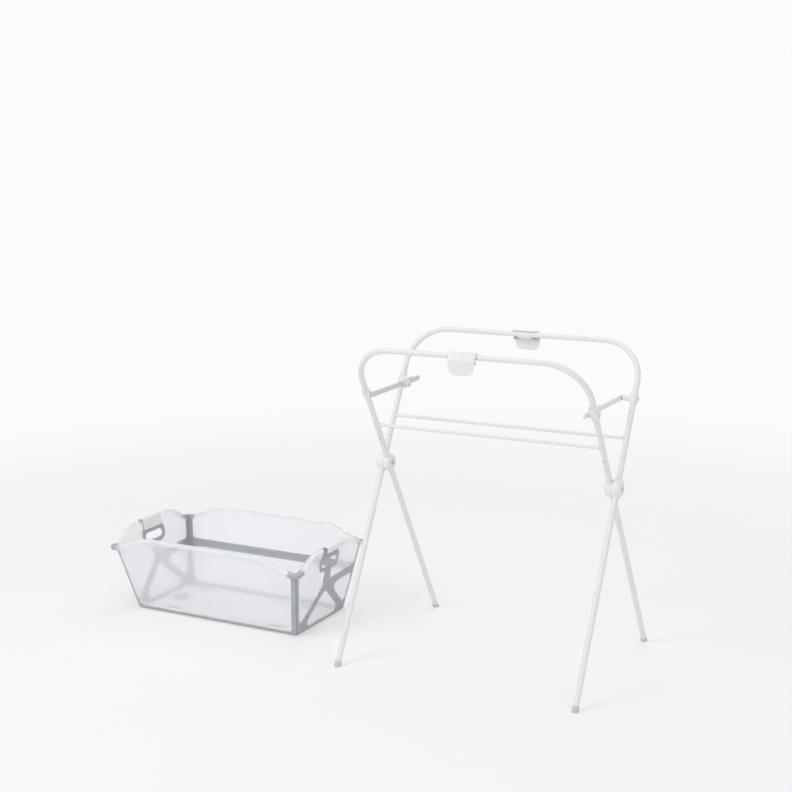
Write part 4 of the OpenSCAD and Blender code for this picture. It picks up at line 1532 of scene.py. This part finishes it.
    def rim_wall_outline(self, low: float) -> tuple[Outline, Rim]:
        """A long wall's outline from a height on its slope up, and where its raised rim is.

        Args:
            low: The height that it starts from.

        Returns:
            The outline, and the first and last index of the rim.
        """
        low_half, high_half = self.half_len(low), self.half_len(self.side_h)
        flat = high_half - self.long_shoulder
        top = self.side_h + self.rim_rise
        gap = self.skin_gap
        rest = vec(high_half - self.rest_run, self.side_h + self.rest_rise)
        corners = inset([vec(-low_half, low), vec(low_half, low), vec(high_half, self.side_h), rest,
                         vec(flat, top), vec(-flat, top), vec(-rest.x, rest.y), vec(-high_half, self.side_h)],
                        [gap, gap, 0, 0, 0, 0, 0, gap])
        line = rounded(corners, [0, 0, 0, self.rest_r, self.long_shoulder_r, self.long_shoulder_r,
                                 self.rest_r, 0])
        return line, (2, len(line) - 1)

    def long_stretch(self, low: float, high: float, depths: Sequence[float]) -> Outline:
        """Corners of a long wall between two heights on its slope, with its edges set in."""
        low_half, high_half = self.half_len(low), self.half_len(high)
        return inset([vec(-low_half, low), vec(low_half, low),
                      vec(high_half, high), vec(-high_half, high)], depths)

    def long_field(self, low: float, high: float, low_set: float, high_set: float) -> Outline:
        """The part of a long wall inside its bands."""
        corners = self.long_stretch(low, high, [low_set, self.wall_band, high_set, self.thin_band])
        return rounded(corners, [self.panel_r / 2, self.panel_r, self.panel_r, self.panel_r / 2])

    def build_long_walls(self) -> None:
        """The front wall and the two panels of the rear wall, with their bands."""
        half, fold = self.band_half, self.fold_v
        for rear, low, low_set, word in ((False, 0.0, self.foot_band, "front"),
                                         (True, fold, half, "rear_upper")):
            inner = self.long_field(low, 2 * self.side_h, low_set, 0)
            panel, band = self.panel_and_band(*self.rim_wall_outline(low), inner)
            caps = [self.corner_saddle(rear, side) for side in Side]
            if rear:
                ribs = self.crease_ribs(low + self.rib_gap, low + low_set + self.rib_lap)
                panel = joined([panel, *ribs], "panel")
            self.fit_pair(word, "wall", self.long_frame(rear), panel, band, caps)
        inner = self.long_field(0, fold, self.foot_band, half)
        whole = self.long_stretch(0, fold, [self.skin_gap] * 4)
        ribs = self.crease_ribs(fold - half - self.rib_lap, fold - self.rib_gap)
        panel = joined([self.plate(inner, 0.0), *ribs], "panel")
        band = self.plate(whole, self.band_proud, inner)
        self.fit_pair("rear_lower", "wall", self.long_frame(True), panel, band)

    def crease_ribs(self, low: float, high: float) -> list[bpy.types.Object]:
        """Thin frosted ribs that cross the soft band along the rear wall's crease.

        Args:
            low: Their lower end on the wall's slope.
            high: Their upper end.

        Returns:
            The ribs, in the wall's frame.
        """
        rise = self.band_proud + self.rib_proud
        return [smoothed(prism(slab(self.rib_w / 2, low, high, -x), -rise, self.wall_t + rise),
                         self.rib_edge) for x in self.rib_x]

    def broad_corner(self, rear: bool, side: Side) -> bool:
        """Whether a corner has the broad band and the long cap."""
        return (side is Side.RIGHT) != rear

    def rim_run(self, outline: Outline, start: int, step: int, length: float) -> Run:
        """Points along a rim from one of its corners, each with its shift into the wall.

        Args:
            outline: The wall's outline.
            start: Index of the corner.
            step: One or minus one, the way along the outline.
            length: How far to go.

        Returns:
            Pairs of a point and the shift for one unit of depth.
        """
        corner = outline[start]
        around = (outline[start - 1], corner, outline[(start + 1) % len(outline)])
        depths = (0.0, 1.0) if step > 0 else (1.0, 0.0)
        stops = [self.cap_step * i for i in range(1, int(length / self.cap_step) - 1)]
        stops += [length - back for back in self.cap_stops]
        return [(corner, corner_shift(*around, *depths))] + [self.rim_place(outline, start, step, gone)
                                                             for gone in stops]

    def rim_place(self, outline: Outline, start: int, step: int, gone: float) -> tuple[Vector, Vector]:
        """The point of a rim at a distance from one of its corners, and the inward normal there.

        Args:
            outline: The wall's outline.
            start: Index of the corner.
            step: One or minus one, the way along the outline.
            gone: The distance.

        Returns:
            The point and the normal.
        """
        count = len(outline)
        here, there = outline[start % count], outline[(start + step) % count]
        while gone > (there - here).length:
            gone -= (there - here).length
            start += step
            here, there = there, outline[(start + step) % count]
        way = (there - here).normalized()
        return here + way * gone, inward_normal(here, there) * step

    def saddle_section(self, back: float) -> list[Flat]:
        """The closed section of a cap over the rim.

        Args:
            back: Distance from the cap's free end, near which it thins out.

        Returns:
            Points of depth and distance out.
        """
        thinned = (1 - min(back, self.cap_fade) / self.cap_fade) ** 2
        grow = self.cap_edge + (self.cap_proud - self.cap_edge) * math.sqrt(1 - thinned)
        line = self.section(grow)
        line[0] = (line[0][0], -self.cap_edge)
        line[-1] = (line[-1][0], self.wall_t + self.cap_edge)
        return line

    def cap_run(self, rear: bool, side: Side, on_end: bool) -> Run:
        """The stretch of a rim under a corner's cap.

        Args:
            rear: Whether it is a rear corner.
            side: Which end.
            on_end: Whether the rim is the end wall's, not the long wall's.

        Returns:
            Points from the corner on, each with its shift into the wall.
        """
        broad = self.broad_corner(rear, side)
        if on_end:
            outline, (first, last) = self.facet_outline(rear)
        else:
            outline, (first, last) = self.rim_wall_outline(self.fold_v if rear else 0.0)
        start, step = (first, 1) if (rear if on_end else broad) else (last, -1)
        return self.rim_run(outline, start, step, self.cap_long if broad else self.cap_short)

    def cap_strip(self, place: Matrix, run: Run) -> bpy.types.Object:
        """A cap's stretch over a run of rim in metres, thinner towards its free end."""
        end = run[-1][0]
        return strip([[place @ Vector((*(point + shift * depth), out))
                       for depth, out in self.saddle_section((end - point).length)] for point, shift in run])

    def corner_saddle(self, rear: bool, side: Side) -> bpy.types.Object:
        """The soft cap over a corner of the rim: a stretch of the long wall's lip and the round corner.

        Args:
            rear: Whether it is a rear corner.
            side: Which end.

        Returns:
            The cap, in metres.
        """
        long_place, end_place = self.long_frame(rear), self.end_frame(side)
        long_run, end_run = self.cap_run(rear, side, False), self.cap_run(rear, side, True)
        stretch = self.cap_strip(long_place, long_run)
        corner = long_place @ long_run[0][0].to_3d()
        one, two = (place.to_3x3() @ run[0][1].to_3d()
                    for place, run in ((long_place, long_run), (end_place, end_run)))
        out_one, out_two = (place.to_3x3() @ Vector((0, 0, 1)) for place in (long_place, end_place))
        section = self.saddle_section(self.cap_fade)
        stations = []
        for i in range(ARC_STEPS + 1):
            t = i / ARC_STEPS
            out_way = out_one * math.cos(t * QUARTER_TURN) + out_two * math.sin(t * QUARTER_TURN)
            stations.append([corner + one.lerp(two, t) * depth + out_way * max(out, self.cap_floor)
                             for depth, out in section])
        return smoothed(joined([stretch, strip(stations)], "cap"), 0.0)

    def facet_corners(self, rear: bool, hinge: float, crease: float, middle: float, top: float) -> Outline:
        """Corners of the front half or of the upper rear part of an end wall.

        Args:
            rear: Whether it is the upper rear part.
            hinge: How far the edge on the long wall's side is set in.
            crease: How far the edge on the lower crease is set in.
            middle: How far the edge on the wall's middle is set in.
            top: How far the rim's edges are set in.

        Returns:
            The corners, anticlockwise.
        """
        way = 1 if rear else -1
        node, crown = vec(0, self.node_h), vec(0, self.rim_top)
        corner, rest, shoulder = (
            vec(way * (self.rim_w / 2 - run), height)
            for run, height in ((0, self.end_h), (self.rest_run, self.end_h + self.rest_rise),
                                (self.shoulder, self.rim_top)))
        if rear:
            fold = vec(self.half_dep(self.end_fold), self.end_fold)
            return inset([node, fold, corner, rest, shoulder, crown], [crease, hinge, top, top, top, middle])
        return inset([vec(-self.base_w / 2, 0), node, crown, shoulder, rest, corner],
                     [crease, middle, top, top, top, hinge])

    def facet_outline(self, rear: bool) -> tuple[Outline, Rim]:
        """The front half or the upper rear part of an end wall, and where its rim is.

        Args:
            rear: Whether it is the upper rear part.

        Returns:
            The outline, and the first and last index of the rim.
        """
        bends = [self.shoulder_r, self.rest_r]
        corners = self.facet_corners(rear, self.skin_gap, self.skin_gap, self.skin_gap, 0)
        line = rounded(corners, [0, 0, 0, *(reversed(bends) if rear else bends), 0])
        return line, (2, len(line) - 1)

    def handle_area(self, grow: float) -> Outline:
        """Area of the soft ring round the handle slot.

        Args:
            grow: How far the area is grown.

        Returns:
            Its outline.
        """
        low = self.grip_h - self.slot_h / 2 - self.ring_side - grow
        high = self.grip_h + self.slot_h / 2 + self.ring_top + grow
        r = self.slot_h / 2 + self.ring_side
        return rounded(slab(self.slot_w / 2 + self.ring_side + grow, low, high), [r] * 4)

    def clip_area(self, grow: float, low: float) -> Outline:
        """Area under the lock clip, from a height on the slope up past the rim."""
        return slab(self.clip_w / 2 + grow, low, low + 2 * self.rim_top)

    def build_end_wall(self, side: Side) -> None:
        """The four folding parts of an end wall, each a frosted panel in a soft band.

        Args:
            side: Which end.
        """
        place = self.end_frame(side)
        front_band, rear_band = (self.end_band if self.broad_corner(rear, side) else self.thin_band
                                 for rear in (False, True))
        clip_low = self.rim_top - self.clip_h
        cuts = [self.handle_area(0), self.clip_area(self.touch, clip_low)]
        r = self.panel_r
        for part, rear, corner_band in (("front", False, front_band), ("top", True, rear_band)):
            corners = self.facet_corners(rear, corner_band, self.band_half, self.stem_half,
                                         -2 * self.lip_down)
            inner = rounded(corners, [r, r, 0, 0, 0, 0])
            panel, band = self.panel_and_band(*self.facet_outline(rear), inner, cuts)
            if not rear:
                gap = self.clip_area(self.front_lip_gap, clip_low)
                lip = prism(gap, self.wall_t + self.lip_skin, self.wall_t + 2 * self.lip_out)
                carve(panel, lip, Carve.CUT)
                smoothed(panel, 0.0)
            cap = smoothed(self.cap_strip(place, self.cap_run(rear, side, True)), 0.0)
            self.fit_pair(f"{side.word}_{part}", "facet", place, panel, band, [cap])
        low_front, low_rear = vec(-self.base_w / 2, 0), vec(self.base_w / 2, 0)
        node, fold = vec(0, self.node_h), vec(self.half_dep(self.end_fold), self.end_fold)
        for part, corners, hinge_band in (("floor", [low_front, low_rear, node], self.foot_band),
                                          ("rear", [low_rear, fold, node], rear_band)):
            whole = inset(corners, [self.skin_gap] * 3)
            inner = rounded(inset(corners, [hinge_band, self.band_half, self.band_half]), [r] * 3)
            self.fit_pair(f"{side.word}_{part}", "facet", place, self.plate(inner, 0.0),
                          self.plate(whole, self.band_proud, inner))

    def build_grip(self, side: Side) -> None:
        """The soft ring round the handle slot with the web under the clip, and the lock clip.

        Args:
            side: Which end.
        """
        place = self.end_frame(side)
        low = self.rim_top - self.clip_h - self.touch
        ring = prism(self.handle_area(-self.skin_gap), -self.ring_proud, self.wall_t + self.ring_proud)
        slot_low = self.grip_h - self.slot_h / 2
        slot = rounded(slab(self.slot_w / 2, slot_low, slot_low + self.slot_h),
                       [self.slot_h / 2 - self.slot_flat] * 4)
        for outline in (slot, self.clip_area(self.touch, low)):
            carve(ring, self.field_prism(outline), Carve.CUT)
        web = prism(slab(self.clip_w / 2, low, self.rim_top - self.touch), 0.0, self.wall_t)
        grip = joined([smoothed(ring, self.ring_edge, 4), smoothed(web, self.web_edge)], "grip")
        self.fitter.fit(placed(grip, place), f"{side.word}_handle_ring", "soft_band", f"{side.word}_grip")
        clip = smoothed(self.clip_solid(), self.clip_edge, 4)
        self.fitter.fit(placed(clip, place), f"{side.word}_rim_clip", "clip_white", f"{side.word}_lock_clip")

    def clip_solid(self) -> bpy.types.Object:
        """A channel over the rim, drawn along the rim.

        Returns:
            The clip, in the wall's frame.
        """
        thick, top = self.clip_t, self.rim_top
        inner = -thick - self.touch
        outer = self.wall_t + self.lip_out + self.touch
        low = top - self.clip_h
        tuck = top - self.lip_down - self.clip_tuck
        profile = [vec(low, inner), vec(low, -self.touch), vec(top, -self.touch), vec(top, outer),
                   vec(tuck, outer), vec(tuck, outer + thick), vec(top + thick, outer + thick),
                   vec(top + thick, inner)]
        solid = prism(rounded(profile[::-1], self.clip_radii), -self.clip_w / 2, self.clip_w / 2)
        return placed(solid, Matrix(((0, 0, 1, 0), (1, 0, 0, 0), (0, 1, 0, 0), (0, 0, 0, 1))))

    def build(self) -> None:
        """Builds and dresses the whole bath."""
        self.build_long_walls()
        for side in Side:
            self.build_end_wall(side)
            self.build_grip(side)
        for node, name, finish, edge in (("base_panel", "base_frosted_panel", "frosted", 0.35),
                                         ("base_border", "base_soft_band", "soft_band", 0.5),
                                         ("base_pads", "base_grip_pads", "soft_band", 0.4),
                                         ("drain_plug", "drain_stopper", "soft_band", 0.5)):
            self.fitter.refined(node, name, finish, edge)


# The studio

@dataclass(frozen=True)
class Lamp:
    """A soft square lamp: where it is, where it looks, its width and its power."""

    name: str
    at: Tone
    towards: Tone
    width: float
    power: float


def cleared(owner: bpy.types.Material | bpy.types.World) -> NodeSheet:
    """The emptied node sheet of a material or a world.

    Args:
        owner: The material or the world.

    Returns:
        Its sheet.
    """
    owner.use_nodes = True
    owner.node_tree.nodes.clear()
    return NodeSheet(owner.node_tree)


@dataclass
class Studio:
    """A pale floor, soft lamps and a camera at the photograph's angle."""

    stand_x: float
    azimuth: float = 28.824
    elevation: float = 11.499
    roll: float = -0.877
    distance: float = 4.36
    focal_px: float = 1545.2
    image_px: float = 792.0
    sensor_mm: float = 36.0
    aim: Tone = (-0.31, 0.0, 0.715)
    light_tone: Tone = (0.97, 0.98, 1.0)
    light_strength: float = 0.62
    floor_tone: Tone = (0.89, 0.89, 0.895)
    floor_lift: float = 1.02
    floor_r: float = 14.0
    fade_span: Span = (1.2, 3.4)
    fade_from: float = 0.35
    lamps: tuple[Lamp, ...] = (
        Lamp("key", (-2.2, -3.4, 3.6), (0.0, 0.0, 0.4), 2.6, 80.0),
        Lamp("fill", (3.4, -2.2, 2.2), (0.0, 0.0, 0.5), 2.4, 24.0),
        Lamp("top", (0.2, 1.6, 3.8), (0.0, 0.0, 0.3), 3.0, 36.0),
    )

    def seen_share(self, sheet: NodeSheet) -> bpy.types.NodeSocket:
        """One for rays of the camera, of gloss and of glass, and zero for the light's own.

        Args:
            sheet: The sheet that asks.

        Returns:
            The share's socket.
        """
        path = sheet.add("ShaderNodeLightPath")
        seen = sheet.reckoned("MAXIMUM", path.outputs["Is Camera Ray"], path.outputs["Is Glossy Ray"])
        return sheet.reckoned("MAXIMUM", seen, path.outputs["Is Transmission Ray"])

    def build_world(self) -> None:
        """A white background to look at, and a softer pale light from it."""
        world = bpy.data.worlds.new("studio")
        bpy.context.scene.world = world
        sheet = cleared(world)
        light = sheet.add("ShaderNodeBackground", {"Color": self.light_tone, "Strength": self.light_strength})
        white = sheet.add("ShaderNodeBackground", {"Color": PAGE_WHITE})
        mix = sheet.add("ShaderNodeMixShader", {"Fac": self.seen_share(sheet), 1: light.outputs["Background"],
                                                2: white.outputs["Background"]})
        sheet.add("ShaderNodeOutputWorld", {"Surface": mix.outputs["Shader"]})

    def floor_material(self) -> bpy.types.Material:
        """A matt pale floor that turns into the white background with the distance.

        Returns:
            The material.
        """
        material = bpy.data.materials.new("pale_floor")
        sheet = cleared(material)
        away = sheet.add("ShaderNodeVectorMath", {0: sheet.own_place()}, operation="LENGTH")
        far = sheet.ramp(away.outputs["Value"], *self.fade_span, self.fade_from, 1.0)
        lifted = tuple(tone * self.floor_lift for tone in self.floor_tone)
        tone = sheet.mixed(sheet.noise(3.0, 2.0), self.floor_tone, lifted)
        matt = sheet.add("ShaderNodeBsdfDiffuse", {"Color": tone})
        glow = sheet.add("ShaderNodeEmission", {"Color": PAGE_WHITE})
        share = sheet.reckoned("MULTIPLY", far, self.seen_share(sheet))
        mix = sheet.add("ShaderNodeMixShader", {"Fac": share, 1: matt.outputs["BSDF"],
                                                2: glow.outputs["Emission"]})
        sheet.add("ShaderNodeOutputMaterial", {"Surface": mix.outputs["Shader"]})
        return material

    def build_floor(self) -> None:
        """The floor under the set."""
        shape = bmesh.new()
        bmesh.ops.create_circle(shape, cap_ends=True, segments=96, radius=self.floor_r)
        floor = from_bmesh("floor", shape)
        floor.data.materials.append(self.floor_material())

    def build_lamps(self) -> None:
        """Places the soft lamps."""
        for lamp in self.lamps:
            data = bpy.data.lights.new(lamp.name, "AREA")
            data.shape = "SQUARE"
            data.size = lamp.width
            data.energy = lamp.power
            made = new_object(lamp.name, data)
            made.location = lamp.at
            way = Vector(lamp.towards) - Vector(lamp.at)
            made.rotation_euler = way.to_track_quat("-Z", "Y").to_euler()

    def build_camera(self) -> None:
        """Places the camera at the photograph's angle and distance."""
        data = bpy.data.cameras.new("camera")
        data.sensor_width = self.sensor_mm
        data.lens = self.focal_px / self.image_px * self.sensor_mm
        made = new_object("camera", data)
        az, el = math.radians(self.azimuth), math.radians(self.elevation)
        target = Vector((self.stand_x * MM, 0, 0)) + Vector(self.aim)
        back = Vector((math.sin(az) * math.cos(el), -math.cos(az) * math.cos(el), math.sin(el)))
        look = (-back).to_track_quat("-Z", "Y").to_matrix().to_4x4()
        made.matrix_world = (Matrix.Translation(target + back * self.distance) @ look
                             @ Matrix.Rotation(math.radians(self.roll), 4, "Z"))
        bpy.context.scene.camera = made

    def build(self) -> None:
        """Builds the studio."""
        bpy.context.scene.view_settings.view_transform = "Standard"
        self.build_world()
        self.build_floor()
        self.build_lamps()
        self.build_camera()


def main() -> None:
    """Builds the stand, the bath and the studio."""
    logging.basicConfig(level=logging.INFO, format="%(name)s: %(message)s")
    effects = SharedEffects()
    fitter = Fitter({name: finish.material(effects) for name, finish in FINISHES.items()})
    stand = TubeStand(fitter, TubeSweep(), SetOnPoints())
    stand.build()
    FoldingBath(fitter).build()
    Studio(stand.stand_x).build()
    LOG.info("%d pieces fitted", fitter.fitted)


if __name__ == "__main__":
    main()
